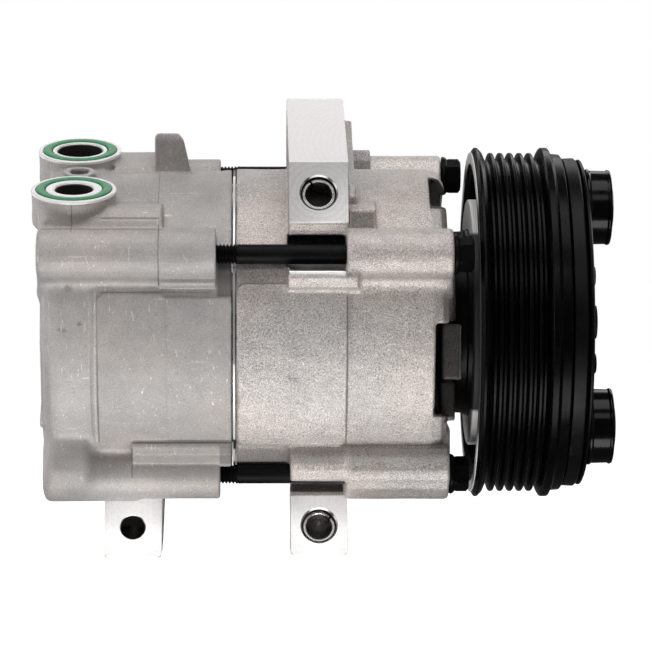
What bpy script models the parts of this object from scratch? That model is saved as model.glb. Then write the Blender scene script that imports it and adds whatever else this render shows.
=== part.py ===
"""Ten-cylinder swash-plate air-conditioning compressor with a six-groove clutch pulley.

Frame: metres. X runs along the drive shaft towards the clutch, which is the front, Z is up, and
the mounting ears and bolt faces look towards -Y, the near side. The origin is on the shaft axis,
midway along the whole length. Dimensions are in millimetres, and stations along X are laid out
from the plane where the housings meet; the finished pieces then move back by X_MIDDLE.
"""

import math

import bmesh
import bpy
from mathutils import Matrix, Vector

MM = 0.001
GAP = 0.3  # running and assembly gap left between separate solids


def around(angle_deg, radius):
    """(y, z) of a point at an angle from -Y towards +Z."""
    angle = math.radians(angle_deg)
    return -radius * math.cos(angle), radius * math.sin(angle)


# ---- dimensions shared between sections ------------------------------------------------------
FRONT_R = 56.4  # front housing drum
REAR_R = 55.8  # rear housing drum
CAVITY_R = 52.5
FACE_X = 0.8  # half the slot between the two housings

# through bolts, in order: near upper, far top, far low, near bottom
BOLTS = [around(angle, 60.0) for angle in (23.5, 113.5, 203.5, 293.5)]
BOLT_R = 3.5
BOSS_R = 9.2
BOTTOM_BOSS_R = BOSS_R - 0.2
BOSS_END_X = 77.6  # front ends of the front bosses

TILT = math.radians(20.0)  # lean of the ears' faces and of the port face
COS_T, SIN_T = math.cos(TILT), math.sin(TILT)
EAR_OUT = Vector((0, -COS_T, SIN_T))  # outward normal of the ears' faces
EAR_UP = Vector((0, SIN_T, COS_T))  # up along the ears' faces
PORT_OUT = Vector((0, -SIN_T, COS_T))  # outward normal of the port face

TOP_EAR = Vector((30.1, -52.0, 45.8))  # middles of the machined faces
LOW_FRONT_EAR = Vector((31.0, -14.0, -74.3))
LOW_REAR_EAR = Vector((-37.0, -14.0, -74.9))
EAR_BORE_R = 6.3

PORT_X = -57.0
NEAR_PORT = Vector((PORT_X, -42.2, 47.5))
PORT_STEP = Vector((0, COS_T, SIN_T)) * 47.0  # from the near port to the far one
FAR_PORT = NEAR_PORT + PORT_STEP
PORT_BOSS_R = 15.0
SEAL_GROOVE_R = (10.1, 13.7)  # inner, outer

NOSE_R = 17.2  # tube that carries the pulley bearing
SHAFT_R = 8.0
SHAFT_COLLAR_R = 9.0
PIN_END_X = 137.2  # front ends of the armature pins
X_MIDDLE = (PIN_END_X + PORT_X - PORT_BOSS_R) / 2  # middle of the whole length

# ---- materials: base colour, roughness, metallic ----------------------------------------------
CAST_FRONT = dict(colour=(0.62, 0.59, 0.57), roughness=0.55, metallic=0.8)
CAST_REAR = dict(colour=(0.55, 0.53, 0.51), roughness=0.5, metallic=0.8)
ALUMINIUM = dict(colour=(0.70, 0.70, 0.70), roughness=0.35, metallic=1.0)
STEEL = dict(colour=(0.50, 0.50, 0.51), roughness=0.3, metallic=1.0)
BLACK_STEEL = dict(colour=(0.012, 0.012, 0.013), roughness=0.45, metallic=0.3)
BLACK_GLOSS = dict(colour=(0.010, 0.010, 0.011), roughness=0.18, metallic=0.1)
BLACK_PLASTIC = dict(colour=(0.015, 0.015, 0.016), roughness=0.5, metallic=0.0)
GREEN_RUBBER = dict(colour=(0.06, 0.30, 0.13), roughness=0.45, metallic=0.0)
PTFE = dict(colour=(0.12, 0.10, 0.08), roughness=0.6, metallic=0.0)


def material(name, colour, roughness, metallic):
    made = bpy.data.materials.new(name)
    made.use_nodes = True
    inputs = made.node_tree.nodes["Principled BSDF"].inputs
    inputs["Base Color"].default_value = (*colour, 1.0)
    inputs["Roughness"].default_value = roughness
    inputs["Metallic"].default_value = metallic
    made.diffuse_color = (*colour, 1.0)
    return made


# ---- solids -----------------------------------------------------------------------------------


def shade(mesh, sharp_angle=35.0):
    mesh.shade_smooth()
    mesh.set_sharp_from_angle(angle=math.radians(sharp_angle))


def new_object(name, shape, look=None):
    """Object made from a bmesh, which is used up; a look gives it a material of its own."""
    bmesh.ops.remove_doubles(shape, verts=shape.verts, dist=1e-7)
    bmesh.ops.recalc_face_normals(shape, faces=shape.faces)
    mesh = bpy.data.meshes.new(name)
    shape.to_mesh(mesh)
    shape.free()
    shade(mesh)
    made = bpy.data.objects.new(name, mesh)
    bpy.context.scene.collection.objects.link(made)
    if look:
        mesh.materials.append(material(name, **look))
    return made


def turned(name, profile, segs, look=None, closed=False, at=(0, 0, 0)):
    """Solid turned about the line parallel to X through at, which also shifts it along X.

    profile is (x, radius): an open profile starts and ends on the axis,
    a closed one goes round a ring's section.
    """
    x0, y0, z0 = at
    shape = bmesh.new()
    rings = []
    for x, radius in profile:
        if radius < 1e-6:
            rings.append([shape.verts.new(((x + x0) * MM, y0 * MM, z0 * MM))])
            continue
        circle = []
        for i in range(segs):
            angle = 2 * math.pi * i / segs
            y = y0 - radius * math.cos(angle)
            z = z0 + radius * math.sin(angle)
            circle.append(shape.verts.new(((x + x0) * MM, y * MM, z * MM)))
        rings.append(circle)
    pairs = list(zip(rings, rings[1:]))
    if closed:
        pairs.append((rings[-1], rings[0]))
    for this, after in pairs:
        for i in range(segs):
            j = (i + 1) % segs
            if len(this) == 1:
                shape.faces.new((this[0], after[i], after[j]))
            elif len(after) == 1:
                shape.faces.new((this[i], this[j], after[0]))
            else:
                shape.faces.new((this[i], this[j], after[j], after[i]))
    return new_object(name, shape, look)


def disc(name, x1, x2, radius, segs, look=None, at=(0, 0, 0)):
    return turned(name, [(x1, 0), (x1, radius), (x2, radius), (x2, 0)], segs, look, at=at)


def ring(name, x1, x2, inner, outer, segs, look=None, at=(0, 0, 0)):
    section = [(x1, inner), (x1, outer), (x2, outer), (x2, inner)]
    return turned(name, section, segs, look, closed=True, at=at)


def rod(name, point, direction, start, end, radius, segs, look=None, end_radius=None):
    """Cylinder or cone between two distances from a point along a unit direction."""
    first = (Vector(point) + direction * start) * MM
    last = (Vector(point) + direction * end) * MM
    axis = (last - first).normalized()
    side = axis.cross(Vector((0, 0, 1)) if abs(axis.z) < 0.9 else Vector((0, 1, 0)))
    side.normalize()
    up = side.cross(axis)
    shape = bmesh.new()
    ends = []
    for centre, size in ((first, radius), (last, end_radius or radius)):
        circle = []
        for i in range(segs):
            angle = 2 * math.pi * i / segs
            spoke = (side * math.cos(angle) + up * math.sin(angle)) * size * MM
            circle.append(shape.verts.new(centre + spoke))
        ends.append(circle)
    for i in range(segs):
        j = (i + 1) % segs
        shape.faces.new((ends[0][i], ends[0][j], ends[1][j], ends[1][i]))
    shape.faces.new(ends[0])
    shape.faces.new(ends[1][::-1])
    return new_object(name, shape, look)


def rod_x(name, x1, x2, radius, segs, look=None, centre=(0, 0)):
    """Cylinder parallel to X, with its axis at centre (y, z)."""
    return rod(name, (0, *centre), Vector((1, 0, 0)), x1, x2, radius, segs, look)


def rods_x(centres, x1, x2, radius, segs):
    return [rod_x("hole", x1, x2, radius, segs, centre=centre) for centre in centres]


def block(name, low, high, look=None, bevel=0.0):
    shape = bmesh.new()
    bmesh.ops.create_cube(shape, size=1.0)
    for v in shape.verts:
        v.co = Vector([(low[k] + (v.co[k] + 0.5) * (high[k] - low[k])) * MM for k in range(3)])
    if bevel:
        bmesh.ops.bevel(
            shape,
            geom=list(shape.edges),
            offset=bevel * MM,
            segments=2,
            profile=0.5,
            affect="EDGES",
        )
    return new_object(name, shape, look)


def slab(name, start, end, outline, axis=0):
    """(y, z) outline extruded along X, or with axis=1 an (x, z) outline extruded along Y."""
    shape = bmesh.new()
    corners = []
    for point in outline:
        place = [value * MM for value in point]
        place.insert(axis, start * MM)
        corners.append(shape.verts.new(place))
    face = shape.faces.new(corners)
    extruded = bmesh.ops.extrude_face_region(shape, geom=[face])
    for part in extruded["geom"]:
        if isinstance(part, bmesh.types.BMVert):
            part.co[axis] = end * MM
    return new_object(name, shape)


def ball(name, centre, radius, segs, rings, look=None):
    shape = bmesh.new()
    bmesh.ops.create_uvsphere(shape, u_segments=segs, v_segments=rings, radius=radius * MM)
    bmesh.ops.translate(shape, verts=shape.verts, vec=Vector(centre) * MM)
    return new_object(name, shape, look)


# ---- Booleans and finishing -------------------------------------------------------------------


def tidy(mesh, triangulate=False):
    shape = bmesh.new()
    shape.from_mesh(mesh)
    bmesh.ops.remove_doubles(shape, verts=shape.verts, dist=1e-7)
    if triangulate:
        bmesh.ops.triangulate(shape, faces=shape.faces)
    shape.to_mesh(mesh)
    shape.free()


def is_open(mesh):
    shape = bmesh.new()
    shape.from_mesh(mesh)
    found = any(not edge.is_manifold for edge in shape.edges)
    shape.free()
    return found


def combine(target, tool, operation):
    """Boolean of target with a tool, or a list of tools that stand apart; tools are used up."""
    if isinstance(tool, list):
        shape = bmesh.new()
        for part in tool:
            shape.from_mesh(part.data)
            bpy.data.objects.remove(part, do_unlink=True)
        tool = new_object("tools", shape)
    # the second solver is for when the exact one leaves an open surface
    for solver in ("EXACT", "MANIFOLD"):
        modifier = target.modifiers.new("cut", "BOOLEAN")
        modifier.operation = operation
        modifier.solver = solver
        modifier.object = tool
        bpy.context.view_layer.update()
        graph = bpy.context.evaluated_depsgraph_get()
        made = bpy.data.meshes.new_from_object(target.evaluated_get(graph))
        target.modifiers.remove(modifier)
        tidy(made)
        if not is_open(made):
            break
    old = target.data
    target.data = made
    made.materials.clear()
    for look in list(old.materials)[:1]:
        made.materials.append(look)
    for face in made.polygons:
        face.material_index = 0
    bpy.data.meshes.remove(old)
    bpy.data.objects.remove(tool, do_unlink=True)
    return target


def join(target, tool):
    return combine(target, tool, "UNION")


def cut(target, tool):
    return combine(target, tool, "DIFFERENCE")


def finish(piece, sharp_angle=35.0):
    """Triangulate what the Booleans left, and shade."""
    tidy(piece.data, triangulate=True)
    shade(piece.data, sharp_angle)


def set_origin(piece, point):
    """Move an object's origin without moving its surface."""
    origin = Vector(point) * MM
    piece.data.transform(Matrix.Translation(-origin))
    piece.location = origin


# ---- shapes common to both housings -----------------------------------------------------------


def bolt_boss(centre, x1, x2, radius):
    """Bolt boss: round on the outside, with flanks that run into the drum."""
    steps = 8
    middle = Vector(centre)
    out = middle.normalized()
    side = Vector((-out.y, out.x))
    points = []
    for i in range(steps + 1):
        angle = math.radians(-97.0 + 194.0 * i / steps)
        points.append(middle + (out * math.cos(angle) + side * math.sin(angle)) * radius)
    root = middle * 0.78
    points.append(root + side * radius * 1.2)
    points.append(root - side * radius * 1.2)
    return slab("boss", x1, x2, [(p.x, p.y) for p in points])


def side_pad(x1, x2, radius, low, high):
    """Raised skin on the near side of a drum, bounded by a box."""
    return combine(disc("pad", x1, x2, radius, 36), block("box", low, high), "INTERSECT")


def ear_point(face, up):
    """(y, z) of a point up an ear's face from its middle."""
    point = face + EAR_UP * up
    return point.y, point.z


def lower_ear(face, x1, x2, down, up, back):
    """Lower ear: a chamfered machined face, then the (y, z) points of the casting behind."""
    y, z = ear_point(face, -down)
    front_edge = [(y + 0.7, z), (y + EAR_UP.y, z + EAR_UP.z), ear_point(face, up)]
    return slab("ear", x1, x2, front_edge + back)


# ---- front housing ----------------------------------------------------------------------------
FRONT_END_X = 76.5
NOSE_END_X = 112.0
NOSE_BORE_R = 12.5
FRONT_PROFILE = [  # x, radius
    (FACE_X, 0), (FACE_X, FRONT_R), (FRONT_END_X - 6.0, FRONT_R),
    (FRONT_END_X - 2.0, FRONT_R - 1.8), (FRONT_END_X, FRONT_R - 6.0), (FRONT_END_X, 34.0),
    (79.5, 32.6), (79.5, 30.0), (83.0, 29.0), (83.0, NOSE_R), (NOSE_END_X, NOSE_R),
    (NOSE_END_X, 0),
]
FRONT_CAVITY = [  # x, radius
    (-5, 0), (-5, CAVITY_R), (66.0, CAVITY_R), (66.0, NOSE_BORE_R),
    (NOSE_END_X + 1, NOSE_BORE_R), (NOSE_END_X + 1, 0),
]
FRONT_BOSSES = [(39.6, BOSS_R), (50.6, 7.6), (39.6, BOSS_R), (40.2, BOTTOM_BOSS_R)]  # x1, radius
TOP_EAR_HALF = 11.75  # half the height of the machined face
FRONT_SLABS = [  # name, x1, x2, (y, z) outline
    # lips that carry the bolt shanks beside the ears
    ("near_lip", 19.2, 39.7,
     [(-50, 12.0), (-61.5, 12.8), (-62.6, 16.5), (-61.0, 19.6), (-50, 19.0)]),
    ("bottom_lip", 20.2, 40.4,
     [(-30, -44.5), (-39.5, -45.5), (-38.0, -56.5), (-31.0, -57.5), (-26, -50.0)]),
    # a long inclined block with a machined near face
    ("top_ear", 19.5, 40.7,
     [ear_point(TOP_EAR, -TOP_EAR_HALF), ear_point(TOP_EAR, TOP_EAR_HALF), (23.0, 84.2),
      (27.5, 82.0), (35.0, 61.0), (36.0, 38.0), (0.0, 46.0), (-42.0, 28.0)]),
    # steps in front of the top ear
    ("ear_step", 40.6, 44.0,
     [(-46, 37), (-43.0, 47.5), (-10, 60.5), (14.0, 74.3), (22.0, 74.0), (33.0, 50.0),
      (0, 45)]),
    ("far_step", 43.9, 50.7,
     [(10, 45), (14.0, 62.5), (17.5, 64.6), (31.0, 64.6), (33.5, 61.0), (34.0, 40.0)]),
    ("near_step", 40.6, 50.5, [(-36, 30), (-49.5, 32.5), (-47.0, 41.8), (-36, 46.0)]),
]
FRONT_EAR_BACK = [(-7.6, -62.4), (-3.0, -52.0), (14.0, -50.0), (13.0, -70.0), (6.0, -84.0)]


def build_front_housing():
    front = turned("front_housing", FRONT_PROFILE, 36, CAST_FRONT)
    join(front, side_pad(FACE_X + 0.3, 40.2, FRONT_R + 0.9, (0, -70, -44.0), (41, -20, 14.5)))
    for bolt, (x1, radius) in zip(BOLTS, FRONT_BOSSES):
        join(front, bolt_boss(bolt, x1, BOSS_END_X, radius))
    for name, x1, x2, outline in FRONT_SLABS:
        join(front, slab(name, x1, x2, outline))
    join(front, lower_ear(LOW_FRONT_EAR, 20.6, 41.4, 11.3, 11.4, FRONT_EAR_BACK))
    # coil lead bracket pad on the front face
    join(front, block("lead_pad", (74.0, -36.0, -22.0), (79.5, -22.0, -0.5), bevel=0.8))

    cut(front, turned("cavity", FRONT_CAVITY, 32))
    cut(front, rods_x(BOLTS, -2, 90, BOLT_R + GAP, 12))
    cut(front, rod("ear_bore", TOP_EAR, EAR_OUT, 2, -12.5, EAR_BORE_R, 16))
    cut(front, rod("ear_bore", LOW_FRONT_EAR, EAR_OUT, 2, -10.2, EAR_BORE_R, 16))
    finish(front)


# ---- rear housing -----------------------------------------------------------------------------
REAR_END_X = -67.8
REAR_PROFILE = [  # x, radius
    (REAR_END_X, 0), (REAR_END_X, REAR_R - 5.0), (REAR_END_X + 1.2, REAR_R - 1.8),
    (REAR_END_X + 4.0, REAR_R), (-FACE_X, REAR_R), (-FACE_X, 0),
]
REAR_CAVITY = [  # x, radius
    (-64.0, 0), (-64.0, CAVITY_R - 4), (-61.0, CAVITY_R), (5, CAVITY_R), (5, 0),
]
REAR_BOSSES = [  # x1, x2, radius
    (-69.2, -6.3, BOSS_R), (-41.3, -5.2, 7.4), (-69.2, -6.3, BOSS_R),
    (-67.6, -5.1, BOTTOM_BOSS_R),
]
REAR_SLABS = [  # name, x1, x2, (y, z) outline
    # stepped shoulder between the near port and the near bolt boss
    ("low_shoulder", -57.0, -25.5, [(-34, 28), (-51.5, 30.5), (-49.0, 40.5), (-38.0, 45.0)]),
    ("high_shoulder", -47.0, -30.0, [(-30, 38), (-42.5, 40.2), (-38.0, 48.0), (-24.0, 52.5)]),
]
TOP_LUG = [  # x, z
    (-29.4, 45), (-29.4, 66.5), (-28.2, 68.7), (-26.0, 69.6), (-22.0, 69.4), (-20.0, 67.5),
    (-14.4, 51.0), (-14.4, 45),
]
TOP_RIB = [(-8, 50), (-8, 57), (14, 62.5), (24, 62.5), (24, 45)]  # y, z
REAR_EAR_BACK = [(-7.6, -63.4), (-3.0, -53.0), (14.0, -50.0), (13.0, -70.0), (6.0, -84.4)]
EAR_RIDGE = [(-26.7, -50), (-24.6, -63), (-26.7, -82)]  # x, z
PORTS = ((NEAR_PORT, 6.6), (FAR_PORT, 8.1))  # centre, bore radius
CLAMP_HOLE = NEAR_PORT + PORT_STEP * 0.5 + Vector((0.8, 0, 0))


def below_port(port, depth):
    """(y, z) of a point at a depth under a port's centre."""
    return port.y + SIN_T * depth, port.z - COS_T * depth


def build_rear_housing():
    rear = turned("rear_housing", REAR_PROFILE, 36, CAST_REAR)
    join(rear, side_pad(-48.8, -FACE_X - 0.2, REAR_R + 1.1, (-60, -70, -44.0), (0, -20, 10.6)))
    for bolt, (x1, x2, radius) in zip(BOLTS, REAR_BOSSES):
        join(rear, bolt_boss(bolt, x1, x2, radius))

    # port bosses and the clamp pad between them
    for port, _ in PORTS:
        join(rear, rod("port", port, PORT_OUT, 0, -26, PORT_BOSS_R, 24, end_radius=13.0))
    clamp_pad = [
        below_port(NEAR_PORT, 1.2),
        below_port(FAR_PORT, 1.2),
        below_port(FAR_PORT, 22),
        below_port(NEAR_PORT, 22),
    ]
    join(rear, slab("clamp_pad", -67.5, -46.5, clamp_pad))

    for name, x1, x2, outline in REAR_SLABS:
        join(rear, slab(name, x1, x2, outline))
    join(rear, slab("top_lug", -13.0, 12.0, TOP_LUG, axis=1))
    join(rear, slab("top_rib", -43.0, -38.0, TOP_RIB))
    join(rear, lower_ear(LOW_REAR_EAR, -47.4, -26.6, 11.5, 11.0, REAR_EAR_BACK))
    join(rear, slab("ear_ridge", -4.0, 6.0, EAR_RIDGE, axis=1))

    cut(rear, turned("cavity", REAR_CAVITY, 32))
    cut(rear, rods_x(BOLTS, 2, -34, BOLT_R + GAP, 12))
    groove_inner, groove_outer = SEAL_GROOVE_R
    for port, bore in PORTS:
        cut(rear, rod("port_bore", port, PORT_OUT, 2, -30, bore, 18))
        groove = rod("groove", port, PORT_OUT, 2, -2.0, groove_outer, 20)
        cut(groove, rod("core", port, PORT_OUT, 3, -3, groove_inner, 20))
        cut(rear, groove)
    cut(rear, rod("clamp_hole", CLAMP_HOLE, PORT_OUT, 2, -14, 3.4, 12))
    cut(rear, rod("ear_bore", LOW_REAR_EAR, EAR_OUT, 2, -40.0, 4.6, 18))
    finish(rear)


# ---- parts fixed to the housings --------------------------------------------------------------
BOLT_SEAT_X = BOSS_END_X + GAP
BOLT_PROFILE = [  # x, radius: shank, flange, head
    (-31.0, 0), (-31.0, BOLT_R - 1), (-30.0, BOLT_R), (BOLT_SEAT_X, BOLT_R),
    (BOLT_SEAT_X, 7.2), (79.4, 7.2), (79.4, 5.8), (85.0, 5.6), (85.0, 0),
]
COIL_HOUSING = [  # x, radius: a channel open to the front, on a rear collar
    (79.9, 30.5), (79.9, 33.6), (91.2, 33.6), (91.2, 54.6), (108.6, 54.6), (108.6, 51.0),
    (94.5, 51.0), (94.5, 33.4), (108.6, 33.4), (108.6, 29.6), (89.9, 29.6), (89.9, 30.5),
]
DOWEL_RECESS = 1.6
BEARING_X = (90.0, 110.0)
BEARING_MID_X = 100.0
RACE_X = (98.0, 102.0)  # edges of the ball races


def build_fasteners_and_seals():
    ring("housing_gasket", -0.5, 0.5, CAVITY_R, 55.5, 32, STEEL)
    for k, bolt in enumerate(BOLTS, 1):
        turned(f"through_bolt_{k}", BOLT_PROFILE, 10, BLACK_STEEL, at=(0, *bolt))
    inner, outer = SEAL_GROOVE_R
    for name, port in (("port_seal_front", NEAR_PORT), ("port_seal_rear", FAR_PORT)):
        seal = rod(name, port, PORT_OUT, -1.7, 0.35, outer - GAP, 24, GREEN_RUBBER)
        cut(seal, rod("hole", port, PORT_OUT, -3, 3, inner + GAP, 24))
        finish(seal)


def build_dowel(name, face, length, slit_angle):
    """Split spring dowel recessed in an ear's bore; the slit's angle is from +X up the face."""
    dowel = rod(name, face, EAR_OUT, -DOWEL_RECESS, -(DOWEL_RECESS + length),
                EAR_BORE_R - GAP, 16, STEEL)
    cut(dowel, rod("hole", face, EAR_OUT, 0, -(length + 5), 4.7, 12))
    slit = block("slit", (4.0, -40, -0.4), (8.0, 40, 0.4))
    slit.data.transform(
        Matrix.Translation((face - EAR_OUT * 8) * MM)
        @ Matrix.Rotation(-TILT, 4, "X")
        @ Matrix.Rotation(math.radians(-slit_angle), 4, "Y")
    )
    cut(dowel, slit)
    finish(dowel)


def build_coil_and_nose():
    finish(turned("coil_housing", COIL_HOUSING, 24, BLACK_STEEL, closed=True))
    ring("coil_winding", 94.8, 107.6, 33.8, 50.6, 24, BLACK_PLASTIC)
    plug = block("coil_connector", (80.2, 34.2, 6.0), (90.6, 47.0, 20.0), BLACK_PLASTIC, bevel=0.8)
    cut(plug, block("socket", (76.0, 36.0, 8.0), (87.0, 45.2, 18.0)))
    finish(plug)
    (x1, x2), (race1, race2) = BEARING_X, RACE_X
    inner_race = [
        (x1, NOSE_R + GAP), (x1, 20.0), (race1, 20.0), (BEARING_MID_X, 18.4), (race2, 20.0),
        (x2, 20.0), (x2, NOSE_R + GAP),
    ]
    turned("bearing_inner_ring", inner_race, 20, STEEL, closed=True)
    ring("shaft_seal", 92.0, 100.0, SHAFT_R + GAP, 12.2, 20, BLACK_PLASTIC)


# ---- compression mechanism, fixed pieces ------------------------------------------------------
MECH_X = 1.5  # middle of the swash plate
PISTONS = 5
PISTON_CIRCLE = 36.0
BORE_R = 15.0
BORE_ANGLES = [90.0 + 360.0 / PISTONS * k for k in range(PISTONS)]
BORES = [around(angle, PISTON_CIRCLE) for angle in BORE_ANGLES]
BLOCK_REACH = (16.8, 43.6)  # cylinder block's ends, from MECH_X
VALVE_REACH = (BLOCK_REACH[1] + GAP, 47.0)  # valve plate's faces, from MECH_X
VALVE_PORTS = ((43.5, 4.2), (29.0, 3.2))  # circle radius, hole radius


def build_cylinder_end(end, side):
    """Cylinder block, shaft bearing and valve plate at one end; side is -1 rear, 1 front."""
    x1, x2 = sorted(MECH_X + side * reach for reach in BLOCK_REACH)
    cylinders = disc(f"{end}_cylinder_block", x1, x2, CAVITY_R - GAP, 30, ALUMINIUM)
    cut(cylinders, rod_x("shaft_bore", x1 - 1, x2 + 1, 12.9, 18))
    # the bore's facets stay outside its circle
    cut(cylinders, rods_x(BORES, x1 - 1, x2 + 1, BORE_R / math.cos(math.pi / 16), 16))
    finish(cylinders)
    ring(f"{end}_shaft_bearing", x1 + 2, x2 - 4, SHAFT_R + GAP, 12.6, 18, STEEL)

    x1, x2 = sorted(MECH_X + side * reach for reach in VALVE_REACH)
    plate = disc(f"{end}_valve_plate", x1, x2, CAVITY_R - GAP, 24, STEEL)
    holes = [rod_x("shaft_hole", x1 - 1, x2 + 1, 8.6, 12)]
    for angle in BORE_ANGLES:
        for circle, radius in VALVE_PORTS:
            holes += rods_x([around(angle, circle)], x1 - 1, x2 + 1, radius, 6)
    cut(plate, holes)
    finish(plate)


# ---- drive shaft, swash plate and clutch hub: turn together -----------------------------------
SWASH_ANGLE = math.radians(16.0)
SWASH_T = 8.0
SWASH_R = 44.0
COLLAR_REACH = 16.4  # shaft collar's ends, from MECH_X
SHAFT_PROFILE = [  # x, radius; the front end is bored for the hub bolt
    (-41.0, 0), (-41.0, 7.4), (-40.4, SHAFT_R), (MECH_X - COLLAR_REACH, SHAFT_R),
    (MECH_X - COLLAR_REACH, SHAFT_COLLAR_R), (MECH_X + COLLAR_REACH, SHAFT_COLLAR_R),
    (MECH_X + COLLAR_REACH, SHAFT_R), (127.0, SHAFT_R), (127.0, 3.4), (108.0, 3.4), (108.0, 0),
]

CUP_ANGLES = (65.0, 185.0, 305.0)
CUPS = [around(angle, 46.0) for angle in CUP_ANGLES]
RIVETS = [around(angle, 18.5) for angle in CUP_ANGLES]
HUB_FACE_X = 127.4
HUB_SEAT_X = HUB_FACE_X + GAP  # where the cups and rivet heads sit
HUB_CAP_X = 129.4  # raised middle under the hub bolt
HUB_BOLT_SEAT_X = HUB_CAP_X + GAP
HUB_PROFILE = [  # x, radius
    (112.5, SHAFT_R + GAP), (112.5, 12.5), (114.0, 13.5), (126.0, 13.5), (126.0, 60.0),
    (HUB_FACE_X, 60.0), (HUB_FACE_X, 13.0), (HUB_CAP_X, 12.0), (HUB_CAP_X, 3.6),
    (HUB_FACE_X, 3.6), (HUB_FACE_X, SHAFT_R + GAP),
]
HUB_BOLT_PROFILE = [
    (109.5, 0), (109.5, 2.4), (110.2, 3.0), (HUB_BOLT_SEAT_X, 3.0), (HUB_BOLT_SEAT_X, 7.9),
    (130.6, 7.9), (130.6, 7.2), (133.7, 6.8), (133.7, 0),
]
CUP_PROFILE = [
    (HUB_SEAT_X, 5.0), (HUB_SEAT_X, 13.9), (135.9, 13.3), (136.0, 12.2), (134.7, 11.6),
    (134.7, 5.0),
]
RIVET_PROFILE = [
    (125.0, 0), (125.0, 2.5), (HUB_SEAT_X, 2.5), (HUB_SEAT_X, 4.7), (132.2, 4.3),
    (133.0, 3.2), (133.0, 0),
]
PIN_PROFILE = [
    (120.5, 0), (120.5, 4.0), (135.3, 4.0), (135.3, 7.7), (PIN_END_X, 7.4), (PIN_END_X, 0),
]


def build_shaft_and_swash():
    turned("drive_shaft", SHAFT_PROFILE, 20, STEEL)
    swash = rod_x("swash_plate", -SWASH_T / 2, SWASH_T / 2, SWASH_R, 32, STEEL)
    swash.data.transform(Matrix.Rotation(SWASH_ANGLE, 4, "Y"))
    swash.data.transform(Matrix.Translation((MECH_X * MM, 0, 0)))
    join(swash, disc("barrel", MECH_X - 16.0, MECH_X + 16.0, 16.0, 24))
    cut(swash, rod_x("bore", MECH_X - 30, MECH_X + 30, SHAFT_COLLAR_R + GAP, 20))
    finish(swash)


def build_clutch_hub():
    hub = turned("clutch_hub", HUB_PROFILE, 24, BLACK_STEEL, closed=True)
    cut(hub, rods_x(CUPS, 124, 129, 5.4, 10))
    cut(hub, rods_x(RIVETS, 124, 131, 2.8, 8))
    finish(hub)
    turned("hub_bolt", HUB_BOLT_PROFILE, 16, BLACK_STEEL)
    for k, (cup, rivet) in enumerate(zip(CUPS, RIVETS), 1):
        turned(f"damper_cup_{k}", CUP_PROFILE, 20, BLACK_GLOSS, closed=True, at=(0, *cup))
        turned(f"hub_rivet_{k}", RIVET_PROFILE, 12, BLACK_STEEL, at=(0, *rivet))


def build_armature():
    """Plate and pins that slide half a millimetre on to the pulley."""
    plate = ring("armature_plate", 120.3, 125.2, 24.0, 60.6, 28, STEEL)
    cut(plate, rods_x(CUPS, 118, 127, 4.3, 12))
    finish(plate)
    for k, cup in enumerate(CUPS, 1):
        turned(f"armature_pin_{k}", PIN_PROFILE, 16, BLACK_STEEL, at=(0, *cup))


# ---- pulley: turns freely on its bearing ------------------------------------------------------
PULLEY_R = 64.4
GROOVES = 6
GROOVE_PITCH = 3.556
GROOVE_CREST_R = 62.5
GROOVE_ROOT_R = 59.6
FIRST_ROOT_X = 92.5
BEARING_R = 26.0


def build_pulley():
    profile = [(87.0, 57.4), (87.0, 63.2), (88.2, PULLEY_R), (90.2, PULLEY_R), (90.9, 63.4)]
    for k in range(GROOVES):
        profile.append((FIRST_ROOT_X + GROOVE_PITCH * k, GROOVE_ROOT_R))
        if k < GROOVES - 1:
            profile.append((FIRST_ROOT_X + GROOVE_PITCH * (k + 0.5), GROOVE_CREST_R))
    profile += [
        (111.9, 63.4), (112.5, PULLEY_R), (115.2, PULLEY_R), (116.0, 61.9), (119.6, 61.9),
        (119.6, 24.6), (110.6, 24.6), (110.6, BEARING_R + GAP), (89.6, BEARING_R + GAP),
        (89.6, 29.1), (112.0, 29.1), (112.0, 57.4),
    ]
    finish(turned("pulley", profile, 28, BLACK_GLOSS, closed=True), sharp_angle=25.0)

    (x1, x2), (race1, race2) = BEARING_X, RACE_X
    outer_race = [
        (x1, 23.5), (x1, BEARING_R), (x2, BEARING_R), (x2, 23.5), (race2, 23.5),
        (BEARING_MID_X, 25.1), (race1, 23.5),
    ]
    turned("bearing_outer_ring", outer_race, 20, STEEL, closed=True)
    cage = ring("bearing_balls", 97.4, 102.6, 21.1, 22.4, 16, STEEL)
    for k in range(8):
        join(cage, ball("ball", (BEARING_MID_X, *around(45.0 * k, 21.75)), 2.3, 6, 4))
    finish(cage)


# ---- pistons, their rings and shoes -----------------------------------------------------------
SHOE_R = 9.0
SHOE_CIRCLE = 2 * PISTON_CIRCLE / (1 + math.cos(SWASH_ANGLE))
SHOE_DRIFT = SHOE_CIRCLE * (1 - math.cos(SWASH_ANGLE)) / 2
BALL_SEGS, BALL_RINGS = 10, 7
# facets of the pocket stay outside the sphere that the wandering shoe sweeps
POCKET_R = (SHOE_R + SHOE_DRIFT + GAP) / (
    math.cos(math.pi / BALL_SEGS) * math.cos(math.pi / (2 * BALL_RINGS))
)
SWASH_NORMAL = Vector((math.cos(SWASH_ANGLE), 0, -math.sin(SWASH_ANGLE)))
SWASH_HIGH = Vector((math.sin(SWASH_ANGLE), 0, math.cos(SWASH_ANGLE)))  # in the plate's plane
PISTON_R = BORE_R - GAP
PISTON_PROFILE = [  # x from the piston's middle, radius; the ring groove is near the rear end
    (-33.0, 0), (-33.0, 14.2), (-32.5, PISTON_R), (-31.4, PISTON_R), (-31.4, 13.4),
    (-29.6, 13.4), (-29.6, PISTON_R), (32.5, PISTON_R), (33.0, 14.2), (33.0, 0),
]


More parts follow.
